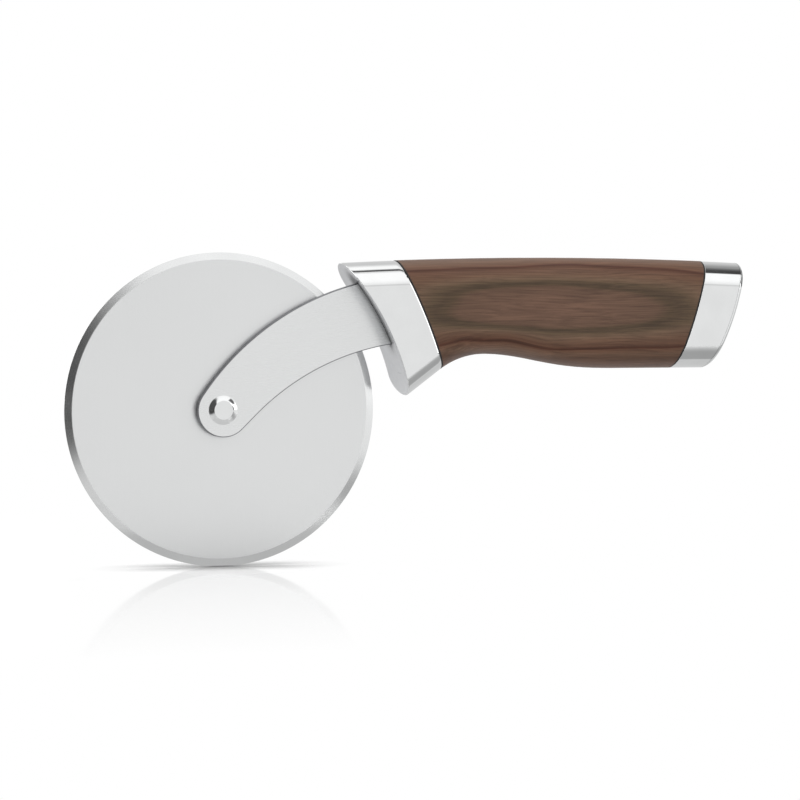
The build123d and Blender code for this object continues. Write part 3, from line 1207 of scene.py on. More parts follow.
@dataclass(frozen=True)
class ArmLine:
    """Side view of the strap: round end, straight piece below it and two long arcs.

    The pocket in the bolster clears the strap all round, and by its mouth at the front,
    where the gap shows. The tang's slot clears it by less, so that no wall of the slot
    lies in line with one of the pocket.
    """

    end_x: float = 0.00025 + AXLE_X
    end_z: float = -0.00025 + AXLE_Z
    end_radius: float = 0.0084
    top_angle: float = math.radians(146.0)
    top_radius: float = 0.087
    bottom_angle: float = math.radians(45.0)
    straight: float = 0.006
    bottom_radius: float = 0.08
    half_thickness: float = 0.0016
    clearance: float = 0.00012
    mouth: float = 0.0005
    slot_clearance: float = 0.00006
    tang_half_width: float = 0.006
    pocket_depth: float = 0.003
    pocket_columns: int = 5
    pocket_rows: int = 15
    arc_steps: int = 72
    solve_steps: int = 12

    def top_centre(self) -> tuple[float, float]:
        """X and Z of the upper arc's centre."""
        reach = self.top_radius - self.end_radius
        return self.end_x - reach * math.cos(self.top_angle), self.end_z - reach * math.sin(self.top_angle)

    def bottom_centre(self) -> tuple[float, float]:
        """Find the lower arc's centre.

        Returns:
            Its X and Z.
        """
        side_x, side_z = math.sin(self.bottom_angle), math.cos(self.bottom_angle)
        reach = self.end_radius + self.bottom_radius
        return (self.end_x + reach * side_x + self.straight * side_z,
                self.end_z - reach * side_z + self.straight * side_x)

    def edges(self, x: float, margin: float) -> tuple[float, float]:
        """Heights of the strap's two long edges at X.

        Args:
            x: Place along the handle.
            margin: How far the strap is grown.

        Returns:
            The lower and the upper edge.
        """
        low_x, low_z = self.bottom_centre()
        top_x, top_z = self.top_centre()
        low = low_z + math.sqrt((self.bottom_radius - margin) ** 2 - (x - low_x) ** 2)
        return low, top_z + math.sqrt((self.top_radius + margin) ** 2 - (x - top_x) ** 2)

    def meet(self, cut: Cut, y: float, share: float, margin: float) -> tuple[float, float]:
        """Point of a cut between the strap's edges.

        Args:
            cut: The cut.
            y: Distance from the handle's middle plane.
            share: Zero at the lower edge and one at the upper.
            margin: How far the strap is grown.

        Returns:
            Its X and Z.
        """
        x = cut.x + cut.radius
        for _ in range(self.solve_steps):
            low, high = self.edges(x, margin)
            z = low + (high - low) * share
            x = cut.point_x(y, z)
        return x, z

    @staticmethod
    def arc(centre: tuple[float, float], radius: float, first: float, last: float,
            steps: int) -> np.ndarray:
        """Points on an arc of the side view.

        Args:
            centre: Its centre.
            radius: Its radius.
            first: Angle of the first point.
            last: Angle of the last point.
            steps: Count of the points.

        Returns:
            X and Z of each point.
        """
        turns = np.linspace(first, last, steps)
        return np.stack([centre[0] + radius * np.cos(turns), centre[1] + radius * np.sin(turns)], axis=1)

    def outline(self, margin: float, tang_end_x: float) -> np.ndarray:
        """Points once round the strap and its tang.

        Args:
            margin: How far the strap is grown.
            tang_end_x: Where the tang ends.

        Returns:
            X and Z of each point.
        """
        seat = FACE_CUT.moved(self.pocket_depth)
        top, low = self.top_centre(), self.bottom_centre()
        top_x, top_z = self.meet(seat, 0.0, 1.0, margin)
        low_x, low_z = self.meet(seat, 0.0, 0.0, margin)
        top_end = math.atan2(top_z - top[1], top_x - top[0])
        low_end = math.atan2(low_z - low[1], low_x - low[0])
        tang_low = seat.point_x(0.0, -self.tang_half_width)
        tang_high = seat.point_x(0.0, self.tang_half_width)
        upper = self.arc(top, self.top_radius + margin, top_end, self.top_angle, self.arc_steps)
        nose = self.arc((self.end_x, self.end_z), self.end_radius + margin, self.top_angle,
                        1.5 * math.pi + self.bottom_angle, self.arc_steps)
        lower = self.arc(low, self.bottom_radius - margin, 0.5 * math.pi + self.bottom_angle, low_end,
                         self.arc_steps)
        tang = np.array([(tang_low, -self.tang_half_width), (tang_end_x, -self.tang_half_width),
                         (tang_end_x, self.tang_half_width), (tang_high, self.tang_half_width)])
        return np.concatenate([upper, nose[1:], lower, tang])

    def pocket(self, face: Cut, reach: float, finish: bpy.types.Material) -> bpy.types.Object:
        """Form of the pocket that the strap's end sits in.

        Args:
            face: The bolster's front face.
            reach: How far the form stands out in front of the face.
            finish: Finish of the pocket's walls.

        Returns:
            The form, for cutting.
        """
        half, front = self.half_thickness + self.clearance, self.half_thickness + self.mouth
        spots = np.linspace(-front, half, self.pocket_columns)
        rows = np.linspace(0.0, 1.0, self.pocket_rows)
        round_it = ([(y, 0.0) for y in spots] + [(half, row) for row in rows[1:]]
                    + [(y, 1.0) for y in spots[::-1][1:]] + [(-front, row) for row in rows[::-1][1:-1]])
        shell = ShellBuilder("pocket_tool")
        for step in (-reach, self.pocket_depth):
            cut = face.moved(step)
            line = []
            for y, share in round_it:
                x, z = self.meet(cut, y, share, self.clearance)
                line.append((x, y, z))
            shell.ring(np.array(line))
        shell.close_flat()
        return shell.finish([finish])

    def tang_slot(self, start_x: float, end_x: float, finish: bpy.types.Material) -> bpy.types.Object:
        """Form of the slot behind the pocket, for the tang.

        Args:
            start_x: Its front end.
            end_x: Its rear end.
            finish: Finish of the slot's walls.

        Returns:
            The form, for cutting.
        """
        wide, high = self.half_thickness + self.slot_clearance, self.tang_half_width + self.clearance
        shell = ShellBuilder("tang_tool")
        for x in (start_x, end_x):
            shell.ring(np.array([(x, -wide, -high), (x, wide, -high), (x, wide, high), (x, -wide, high)]))
        shell.close_flat()
        return shell.finish([finish])


@dataclass(frozen=True)
class Arm:
    """Flat curved strap with softly broken edges, its tang inside the handle."""

    line: ArmLine
    edge_radius: float = 0.00028
    edge_steps: int = 5
    tang_end_x: float = -0.03264
    hole_radius: float = 0.00302
    pin_radius: float = 0.00152
    pin_places: tuple[float, float] = (-0.04264, -0.03614)
    hole_segments: int = 64

    def build(self, finish: bpy.types.Material, edge: bpy.types.Material) -> None:
        """Build the arm and let it stand for its CAD node.

        Args:
            finish: Finish of its faces.
            edge: Finish of its cut edges.
        """
        half = self.line.half_thickness
        shell = ShellBuilder("arm_strap")
        shell.slot = 1
        turns = np.linspace(0.0, math.pi / 2, self.edge_steps + 1)
        rounding = [(self.edge_radius * (1 - math.cos(turn)), self.edge_radius * (1 - math.sin(turn)))
                    for turn in turns]
        front = [(inset, -half + depth) for inset, depth in rounding[::-1]]
        back = [(inset, half - depth) for inset, depth in rounding]
        for inset, y in front + back:
            outline = self.line.outline(-inset, self.tang_end_x)
            shell.ring(np.insert(outline, 1, y, axis=1))
        shell.slot = 0
        shell.close_flat()
        piece = shell.finish([finish, edge])
        holes = [(AXLE_X, AXLE_Z, self.hole_radius)] + [(x, 0.0, self.pin_radius) for x in self.pin_places]
        for x, z, radius in holes:
            cut_away(piece, self.drill(x, z, radius, finish))
        soft_shading(piece)
        stand_for(piece, Node.ARM, Body.HANDLE)

    def drill(self, x: float, z: float, radius: float, finish: bpy.types.Material) -> bpy.types.Object:
        """Form of a round hole along Y.

        Args:
            x: Its place along the handle.
            z: Its height.
            radius: Its radius.
            finish: Finish of its wall.

        Returns:
            The form, for cutting.
        """
        shell = ShellBuilder("hole_tool")
        circle = self.line.arc((x, z), radius, 0.0, math.tau, self.hole_segments + 1)[:-1]
        reach = 2 * self.line.half_thickness
        for y in (-reach, reach):
            shell.ring(np.insert(circle, 1, y, axis=1))
        shell.close_flat()
        return shell.finish([finish])


def rim(shell: ShellBuilder, form: HandleForm, cut: Cut, size: tuple[float, float], *, towards_rear: bool,
        outwards: bool, steps: int) -> None:
    """Add the rings of a rim between an end face and the skin: two for a bevel, more for a rounding.

    Args:
        shell: The shell that gets them.
        form: The handle's form.
        cut: The end face beside the rim.
        size: The rim's length along the handle and its depth into the form.
        towards_rear: Whether the form lies behind the cut.
        outwards: Whether the rings go from the end face out to the skin.
        steps: Count of the rings.
    """
    turns = np.linspace(0.0, math.pi / 2, steps)
    if outwards:
        turns = turns[::-1]
    for turn in turns:
        step = size[0] * (1 - math.sin(turn))
        inset = size[1] * (1 - math.cos(turn))
        shell.ring(form.ring(cut.moved(step if towards_rear else -step), inset))


def skin(shell: ShellBuilder, form: HandleForm, front: Cut, rear: Cut, inset: float, rows: int) -> None:
    """Add the rings between two cuts, without those on the cuts.

    Args:
        shell: The shell that gets them.
        form: The handle's form.
        front: Where the rings start.
        rear: Where they end.
        inset: How far the form is drawn in.
        rows: Count of the spans between them.
    """
    start, end = form.ring(front, inset), form.ring(rear, inset)
    for i in range(1, rows):
        shell.ring(form.between(start, end, i / rows, inset))


@dataclass(frozen=True)
class Bolster:
    """Polished steel collar whose dished front face is left satin and holds the arm."""

    form: HandleForm
    line: ArmLine
    rim_radius: float = 0.00035
    joint_bevel: tuple[float, float] = (0.0005, 0.00023)
    wall: float = 0.002
    face_wall: float = 0.006
    innermost: float = 0.0086
    rows: int = 16
    rim_rings: int = 6
    face_rings: int = 12
    inner_rings: int = 8

    def build(self, polished: bpy.types.Material, satin: bpy.types.Material) -> None:
        """Build the collar and let it stand for its CAD node.

        Args:
            polished: Finish of its outside.
            satin: Finish of its front face and of the pocket.
        """
        piece = self.shell(polished, satin)
        cut_away(piece, self.line.pocket(FACE_CUT, self.wall, satin))
        middle_x = FACE_CUT.point_x(0.0, 0.0)
        cut_away(piece, self.line.tang_slot(middle_x, middle_x + self.face_wall + self.wall, satin))
        soft_shading(piece)
        stand_for(piece, Node.BOLSTER, Body.HANDLE)

    def shell(self, polished: bpy.types.Material, satin: bpy.types.Material) -> bpy.types.Object:
        """Build the collar before it is cut for the arm.

        Args:
            polished: Finish of its outside.
            satin: Finish of its front face.

        Returns:
            The collar, closed.
        """
        form = self.form
        rim_size = (self.rim_radius, self.rim_radius)
        outer, inner = FACE_CUT.moved(self.rim_radius), FACE_CUT.moved(self.face_wall)
        shell = ShellBuilder("bolster_collar")
        for inset in np.linspace(self.innermost, self.rim_radius, self.face_rings):
            shell.ring(form.ring(FACE_CUT, inset))
        shell.slot = 1
        rim(shell, form, FACE_CUT, rim_size, towards_rear=True, outwards=True, steps=self.rim_rings)
        skin(shell, form, outer, JOINT_CUT.moved(-self.joint_bevel[0]), 0.0, self.rows)
        rim(shell, form, JOINT_CUT, self.joint_bevel, towards_rear=False, outwards=False, steps=BEVEL_RINGS)
        shell.ring(form.ring(JOINT_CUT, self.wall))
        skin(shell, form, JOINT_CUT, inner, self.wall, self.rows)
        for inset in np.linspace(self.wall, self.innermost, self.inner_rings):
            shell.ring(form.ring(inner, inset))
        shell.close_end(shell.last, form.arc_steps)
        shell.slot = 0
        shell.close_end(shell.first, form.arc_steps)
        return shell.finish([satin, polished])


@dataclass(frozen=True)
class EndCap:
    """Polished steel band over the grip's end, and the plate that closes it."""

    form: HandleForm
    liner: float = 0.0004
    plate: float = 0.001
    seam: float = 0.00003
    joint_bevel: tuple[float, float] = (0.00025, 0.00025)
    seam_bevel: float = 0.00004
    rim_size: tuple[float, float] = (0.00094, 0.00094)
    wall: float = 0.002
    innermost: float = 0.0086
    rows: int = 12
    rim_rings: int = 10
    face_rings: int = 12
    inner_rings: int = 10

    def build(self, finish: bpy.types.Material) -> None:
        """Build band and plate and let them stand for their CAD nodes.

        Args:
            finish: Their finish.
        """
        self.band(finish)
        self.end(finish)

    def band(self, finish: bpy.types.Material) -> None:
        """Build the band.

        Args:
            finish: Its finish.
        """
        form = self.form
        front = CAP_CUT.moved(self.liner)
        rear = REAR_CUT.moved(-self.plate - self.seam)
        seam_size = (self.seam_bevel, self.seam_bevel)
        start, end = front.moved(self.joint_bevel[0]), rear.moved(-self.seam_bevel)
        shell = ShellBuilder("end_cap_band")
        shell.ring(form.ring(front, self.wall))
        rim(shell, form, front, self.joint_bevel, towards_rear=True, outwards=True, steps=BEVEL_RINGS)
        skin(shell, form, start, end, 0.0, self.rows)
        rim(shell, form, rear, seam_size, towards_rear=False, outwards=False, steps=BEVEL_RINGS)
        shell.ring(form.ring(rear, self.wall))
        skin(shell, form, rear, front, self.wall, self.rows)
        shell.close_loop()
        piece = shell.finish([finish])
        soft_shading(piece)
        stand_for(piece, Node.END_CAP, Body.HANDLE)

    def end(self, finish: bpy.types.Material) -> None:
        """Build the plate with its rounded rim.

        Args:
            finish: Its finish.
        """
        form = self.form
        shell = ShellBuilder("end_cap_plate")
        inner = REAR_CUT.moved(-self.plate)
        for inset in np.linspace(self.innermost, 0.0, self.inner_rings):
            shell.ring(form.ring(inner, inset))
        rim(shell, form, REAR_CUT, self.rim_size, towards_rear=False, outwards=False, steps=self.rim_rings)
        for inset in np.linspace(self.rim_size[1], self.innermost, self.face_rings)[1:]:
            shell.ring(form.ring(REAR_CUT, inset))
        shell.close_end(shell.first, form.arc_steps)
        shell.close_end(shell.last, form.arc_steps)
        piece = shell.finish([finish])
        soft_shading(piece)
        stand_for(piece, Node.END_PLATE, Body.HANDLE)


@dataclass(frozen=True)
class Card:
    """A studio card of one level that only mirror-like surfaces see, with fading edges.

    It shows its glow on the side that faces the object.
    The fades are shares of the card at its left, right, low and high edge.
    """

    name: str
    level: float
    fades: tuple[float, float, float, float]

    def spot(self, u: float, v: float) -> Triple:
        """Place of a point of the card.

        Args:
            u: Share from left to right.
            v: Share from low to high.

        Returns:
            Its X, Y and Z.
        """
        raise NotImplementedError

    def build(self, columns: int = 8, rows: int = 24) -> None:
        """Build the card.

        Args:
            columns: Spans from left to right.
            rows: Spans from low to high.
        """
        build = bmesh.new()
        uv_layer = build.loops.layers.uv.new("card")
        grid = [[(build.verts.new(self.spot(i / columns, j / rows)), (i / columns, j / rows))
                 for j in range(rows + 1)] for i in range(columns + 1)]
        for i in range(columns):
            for j in range(rows):
                corners = [grid[i][j], grid[i + 1][j], grid[i + 1][j + 1], grid[i][j + 1]]
                face = build.faces.new([vert for vert, _ in corners])
                for loop, (_, uv) in zip(face.loops, corners):
                    loop[uv_layer].uv = uv
        build.normal_update()
        outward = [face for face in build.faces if face.normal.dot(face.calc_center_median()) > 0]
        bmesh.ops.reverse_faces(build, faces=outward)
        mesh = bpy.data.meshes.new(self.name)
        build.to_mesh(mesh)
        build.free()
        mesh.materials.append(self.material())
        card = add_object(self.name, mesh)
        card.visible_camera = False
        card.visible_diffuse = False
        card.visible_transmission = False
        card.visible_volume_scatter = False
        card.visible_shadow = False

    def material(self) -> bpy.types.Material:
        """Glow of one level, clear towards the edges and from behind.

        Returns:
            The card's material.
        """
        material, sheet = node_material(self.name)
        uv = sheet.add("ShaderNodeUVMap", uv_map="card").outputs[0]
        split = sheet.add("ShaderNodeSeparateXYZ", {0: uv}).outputs
        behind = sheet.add("ShaderNodeNewGeometry").outputs["Backfacing"]
        mask = sheet.add("ShaderNodeMath", {0: 1.0, 1: behind}, operation="SUBTRACT").outputs[0]
        for number, fade in enumerate(self.fades):
            if not fade:
                continue
            place = split[number // 2]
            if number % 2:
                place = sheet.add("ShaderNodeMath", {0: 1.0, 1: place}, operation="SUBTRACT").outputs[0]
            edge = sheet.add("ShaderNodeMapRange", {
                "Value": place, "From Min": 0.0, "From Max": fade,
            }, interpolation_type="SMOOTHSTEP").outputs[0]
            mask = sheet.add("ShaderNodeMath", {0: mask, 1: edge}, operation="MULTIPLY").outputs[0]
        clear = sheet.add("ShaderNodeBsdfTransparent")
        glow = sheet.add("ShaderNodeEmission", {"Color": WHITE, "Strength": self.level})
        shader = sheet.add("ShaderNodeMixShader", {0: mask, 1: clear.outputs[0], 2: glow.outputs[0]})
        sheet.add("ShaderNodeOutputMaterial", {"Surface": shader.outputs[0]})
        return material


@dataclass(frozen=True)
class BentCard(Card):
    """Card bent round the X axis.

    A turn of 0 is level in front of the object, 90 is straight above it. Its low and
    high turn are given at its left and at its right edge.
    """

    left: float
    right: float
    left_turns: tuple[float, float]
    right_turns: tuple[float, float]
    radius: float = 1.0

    def spot(self, u: float, v: float) -> Triple:
        """Place of a point of the card.

        Args:
            u: Share from left to right.
            v: Share from low to high.

        Returns:
            Its X, Y and Z.
        """
        low = self.left_turns[0] * (1 - u) + self.right_turns[0] * u
        high = self.left_turns[1] * (1 - u) + self.right_turns[1] * u
        turn = math.radians(low * (1 - v) + high * v)
        x = self.left * (1 - u) + self.right * u
        return x, -self.radius * math.cos(turn), self.radius * math.sin(turn)


@dataclass(frozen=True)
class FlatCard(Card):
    """Flat card, given by a corner and the two edges that start there."""

    corner: Triple
    across: Triple
    up: Triple

    def spot(self, u: float, v: float) -> Triple:
        """Place of a point of the card.

        Args:
            u: Share from left to right.
            v: Share from low to high.

        Returns:
            Its X, Y and Z.
        """
        return tuple(c + a * u + b * v for c, a, b in zip(self.corner, self.across, self.up))


@dataclass(frozen=True)
class Lamp:
    """A large soft lamp that lights matt surfaces and stays out of the mirror-like ones."""

    name: str
    place: Triple
    target: Triple
    size: tuple[float, float]
    watts: float

    def build(self) -> None:
        """Build the lamp."""
        light = bpy.data.lights.new(self.name, "AREA")
        light.shape = "RECTANGLE"
        light.size, light.size_y = self.size
        light.energy = self.watts
        lamp = add_object(self.name, light)
        aim(lamp, self.place, self.target)
        lamp.visible_glossy = False
        lamp.visible_camera = False


@dataclass(frozen=True)
class Floor:
    """White glossy table top that the blade stands on.

    Near the line of contact it is paint lit by the lamps, with the object's shadow in
    it. Further off it is as white as the backdrop. Its mirror image of the blade fades
    with the distance from the line of contact, and ambient occlusion paints a soft shade
    round the blade.
    """

    height: float
    contact: tuple[float, float] = (AXLE_X, 0.00285)
    radius: float = 12.0
    sides: int = 96
    own_glow: float = 0.19
    colour: str = "f4f4f4"
    mirror_share: float = 0.38
    mirror_reach: float = 0.225
    mirror_roughness: float = 0.05
    lit_reach: tuple[float, float] = (0.016, 0.036)
    contact_reach: float = 0.0155
    contact_depth: float = 1.4

    def build(self) -> None:
        """Build the floor."""
        build = bmesh.new()
        bmesh.ops.create_circle(build, cap_ends=True, segments=self.sides, radius=self.radius)
        mesh = bpy.data.meshes.new("floor")
        build.to_mesh(mesh)
        build.free()
        mesh.materials.append(self.material())
        floor = add_object("floor", mesh)
        floor.location.z = self.height

    def material(self) -> bpy.types.Material:
        """White for the camera and in mirrors, lit paint for the rest, with the object's shadow.

        Returns:
            The floor's material.
        """
        material, sheet = node_material("floor_lacquer")
        place = sheet.add("ShaderNodeTexCoord").outputs["Object"]
        paint = sheet.add("ShaderNodeBsdfDiffuse", {"Color": linear(self.colour)}).outputs[0]
        top = self.table_top(sheet, place, paint)
        mirror = sheet.add("ShaderNodeBsdfAnisotropic", {
            "Color": WHITE, "Roughness": self.mirror_roughness,
        }).outputs[0]
        share = self.mirror_strength(sheet, place)
        glossed = sheet.add("ShaderNodeMixShader", {0: share, 1: top, 2: mirror}).outputs[0]
        # Painted shade: ambient occlusion darkens the table, mirror image included, round the blade's line
        # of contact.
        openness = sheet.add("ShaderNodeAmbientOcclusion", {"Distance": self.contact_reach}).outputs["AO"]
        clear = sheet.add("ShaderNodeMath", {
            0: openness, 1: self.contact_depth,
        }, operation="POWER").outputs[0]
        dark = sheet.add("ShaderNodeBsdfDiffuse", {"Color": BLACK}).outputs[0]
        table = sheet.add("ShaderNodeMixShader", {0: clear, 1: dark, 2: glossed}).outputs[0]
        shader = sheet.add("ShaderNodeMixShader", {0: seen_rays(sheet), 1: paint, 2: table})
        sheet.add("ShaderNodeOutputMaterial", {"Surface": shader.outputs[0]})
        return material

    def table_top(self, sheet: NodeSheet, place: bpy.types.NodeSocket,
                  paint: bpy.types.NodeSocket) -> bpy.types.NodeSocket:
        """Lit paint round the line of contact, turning to the backdrop's white further off.

        Args:
            sheet: The material's tree.
            place: Object coordinates.
            paint: The paint's shader.

        Returns:
            The shader.
        """
        glow = sheet.add("ShaderNodeEmission", {"Color": WHITE, "Strength": self.own_glow})
        lit = sheet.add("ShaderNodeAddShader", {0: paint, 1: glow.outputs[0]})
        spread = sheet.add("ShaderNodeVectorMath", {
            0: place, 1: (*self.contact, 0.0),
        }, operation="DISTANCE").outputs["Value"]
        far = sheet.add("ShaderNodeMapRange", {
            "Value": spread, "From Min": self.lit_reach[0], "From Max": self.lit_reach[1],
        }, interpolation_type="SMOOTHSTEP").outputs[0]
        backdrop = sheet.add("ShaderNodeEmission", {"Color": WHITE, "Strength": WHITE_LEVEL})
        return sheet.add("ShaderNodeMixShader", {
            0: far, 1: lit.outputs[0], 2: backdrop.outputs[0],
        }).outputs[0]

    def mirror_strength(self, sheet: NodeSheet, place: bpy.types.NodeSocket) -> bpy.types.NodeSocket:
        """How much the top mirrors, falling with the distance from the line of contact.

        Args:
            sheet: The material's tree.
            place: Object coordinates.

        Returns:
            The share of the mirror image.
        """
        depth = sheet.add("ShaderNodeSeparateXYZ", {0: place}).outputs[1]
        away = sheet.add("ShaderNodeMath", {0: depth, 1: self.contact[1]}, operation="SUBTRACT").outputs[0]
        span = sheet.add("ShaderNodeMath", {0: away}, operation="ABSOLUTE").outputs[0]
        return sheet.add("ShaderNodeMapRange", {
            "Value": span, "From Min": 0.0, "From Max": self.mirror_reach,
            "To Min": self.mirror_share, "To Max": 0.0,
        }).outputs[0]


def seen_rays(sheet: NodeSheet) -> bpy.types.NodeSocket:
    """One for rays that show a surface to the eye: straight, in a mirror, or through glass.

    Args:
        sheet: The tree to add it to.

    Returns:
        A socket that is one or zero.
    """
    path = sheet.add("ShaderNodeLightPath").outputs
    seen = path["Is Camera Ray"]
    for kind in ("Is Glossy Ray", "Is Transmission Ray"):
        seen = sheet.add("ShaderNodeMath", {0: seen, 1: path[kind]}, operation="MAXIMUM").outputs[0]
    return seen


@dataclass(frozen=True)
class Studio:
    """Camera, floor, plain soft light and the cards that metal mirrors.

    The upright cards stand the floor gap above the floor. Those that lie on it are in
    three layers, a card step apart.
    """

    eye: Triple = (-0.29479, -0.93423, 0.00836)
    target: Triple = (-0.0497, 0.0, -0.02875)
    lens: float = 135.0
    sensor: float = 36.0
    clip: tuple[float, float] = (0.01, 100.0)
    floor_height: float = -0.08132
    floor_gap: float = 0.003
    card_step: float = 0.0002
    world_level: float = 0.38

    def build(self) -> None:
        """Build everything that isn't the object."""
        self.camera()
        self.world()
        Floor(self.floor_height).build()
        for lamp in self.lamps():
            lamp.build()
        for card in self.bent_cards() + self.table_cards() + self.side_cards():
            card.build()

    def camera(self) -> None:
        """Set the camera at the photograph's viewing angle."""
        data = bpy.data.cameras.new("camera")
        data.lens = self.lens
        data.sensor_width = self.sensor
        data.clip_start, data.clip_end = self.clip
        camera = add_object("camera", data)
        aim(camera, self.eye, self.target)
        bpy.context.scene.camera = camera

    def world(self) -> None:
        """White backdrop where it is seen, and an even soft light for the rest."""
        world = bpy.data.worlds.new("studio")
        bpy.context.scene.world = world
        world.use_nodes = True
        sheet = NodeSheet(world.node_tree)
        strength = sheet.add("ShaderNodeMapRange", {
            "Value": seen_rays(sheet), "To Min": self.world_level, "To Max": WHITE_LEVEL,
        }).outputs[0]
        sky = sheet.add("ShaderNodeBackground", {"Color": WHITE, "Strength": strength})
        sheet.add("ShaderNodeOutputWorld", {"Surface": sky.outputs[0]})

    def lamps(self) -> list[Lamp]:
        """The soft lamps.

        Returns:
            A long one straight above the blade, which draws its shadow, and a weak one in front.
        """
        return [
            Lamp("lamp_above", place=(AXLE_X, 0.003, 1.5), target=(AXLE_X, 0.0031, 0.0),
                 size=(2.2, 0.8), watts=18.0),
            Lamp("lamp_front", place=(-0.5, -1.4, 1.1), target=(0.0, 0.0, 0.0),
                 size=(1.6, 1.6), watts=4.0),
        ]

    def bent_cards(self) -> list[Card]:
        """Cards bent over the object: softbox, dark sides, gaps, ceiling and back wall.

        Returns:
            The cards.
        """
        return [
            BentCard("card_softbox", level=1.32, fades=(0.12, 0.12, 0.5, 0.03), left=-1.6, right=2.2,
                     left_turns=(9.0, 86.0), right_turns=(9.0, 86.0), radius=1.2),
            BentCard("card_dim_band", level=0.8, fades=(0.1, 0.1, 0.5, 0.5), left=-1.6, right=2.2,
                     left_turns=(4.0, 22.0), right_turns=(4.0, 22.0), radius=1.15),
            BentCard("card_camera_side", level=0.09, fades=(0.05, 0.154, 0.0, 0.14), left=-1.9, right=-0.15,
                     left_turns=(-10.0, 52.0), right_turns=(-10.0, 40.0)),
            BentCard("card_upper_right", level=0.15, fades=(0.1, 0.15, 0.15, 0.15), left=0.52, right=1.3,
                     left_turns=(34.0, 53.0), right_turns=(20.0, 40.0)),
            BentCard("card_low_right", level=1.2, fades=(0.1, 0.1, 0.0, 0.4), left=0.6, right=1.3,
                     left_turns=(-4.6, 12.0), right_turns=(-4.6, 12.0)),
            BentCard("card_gap_front", level=0.1, fades=(0.1, 0.1, 0.15, 0.5), left=-0.05, right=0.36,
                     left_turns=(91.0, 106.0), right_turns=(91.0, 106.0), radius=0.9),
            BentCard("card_gap_rear", level=0.07, fades=(0.1, 0.1, 0.08, 0.8), left=0.36, right=0.85,
                     left_turns=(78.5, 152.0), right_turns=(78.5, 152.0), radius=0.9),
            BentCard("card_ceiling_glow", level=1.3, fades=(0.2, 0.3, 0.1, 0.6), left=-0.5, right=0.42,
                     left_turns=(98.0, 136.0), right_turns=(98.0, 136.0), radius=1.1),
            BentCard("card_back_wall", level=0.74, fades=(0.1, 0.1, 0.15, 0.1), left=-1.6, right=2.2,
                     left_turns=(116.0, 166.0), right_turns=(116.0, 166.0), radius=1.3),
        ]

    def table_cards(self) -> list[Card]:
        """Grey cards that lie on the table round the blade, seen from above only.

        Returns:
            The cards.
        """
        low, mid, high = (self.floor_height + layer * self.card_step for layer in (1, 2, 3))
        return [
            FlatCard("card_table_front", level=0.6, fades=(0.1, 0.1, 0.5, 0.0),
                     corner=(-0.4, -0.036, low), across=(0.6, 0.0, 0.0), up=(0.0, 0.0387, 0.0)),
            FlatCard("card_table_rivet", level=0.73, fades=(0.4, 0.12, 0.25, 0.05),
                     corner=(-0.165, -0.086, low), across=(0.102, 0.0, 0.0), up=(0.0, 0.064, 0.0)),
            FlatCard("card_table_back", level=0.72, fades=(0.1, 0.1, 0.0, 0.3),
                     corner=(-1.6, 0.0045, low), across=(3.2, 0.0, 0.0), up=(0.0, 1.2, 0.0)),
            FlatCard("card_table_handle", level=0.45, fades=(0.1, 0.3, 0.74, 0.05),
                     corner=(-0.065, -0.17, mid), across=(0.5, 0.0, 0.0), up=(0.0, 0.178, 0.0)),
            FlatCard("card_table_dark", level=0.08, fades=(0.1, 0.04, 0.1, 0.14),
                     corner=(-1.64, -1.0, high), across=(1.3, 0.0, 0.0), up=(0.19, 0.95, 0.0)),
        ]

    def side_cards(self) -> list[Card]:
        """Upright cards to the left and to the right, which the rims mirror.

        Returns:
            The cards.
        """
        low = self.floor_height + self.floor_gap
        return [
            FlatCard("card_right_light", level=2.2, fades=(0.25, 0.04, 0.0, 0.2),
                     corner=(1.3, -1.3, low), across=(0.0, 0.66, 0.0), up=(0.0, 0.0, 1.3)),
            FlatCard("card_right_dark", level=0.08, fades=(0.03, 0.15, 0.0, 0.2),
                     corner=(1.32, -0.66, low), across=(0.0, 2.0, 0.0), up=(0.0, 0.0, 1.3)),
            FlatCard("card_left_light", level=2.2, fades=(0.1, 0.1, 0.0, 0.2),
                     corner=(-1.3, 0.6, low), across=(0.0, -1.2, 0.0), up=(0.0, 0.0, 1.2)),
            FlatCard("card_back_left", level=2.2, fades=(0.1, 0.15, 0.0, 0.2),
                     corner=(-2.2, 1.3, low), across=(2.25, 0.0, 0.0), up=(0.0, 0.0, 1.2)),
        ]


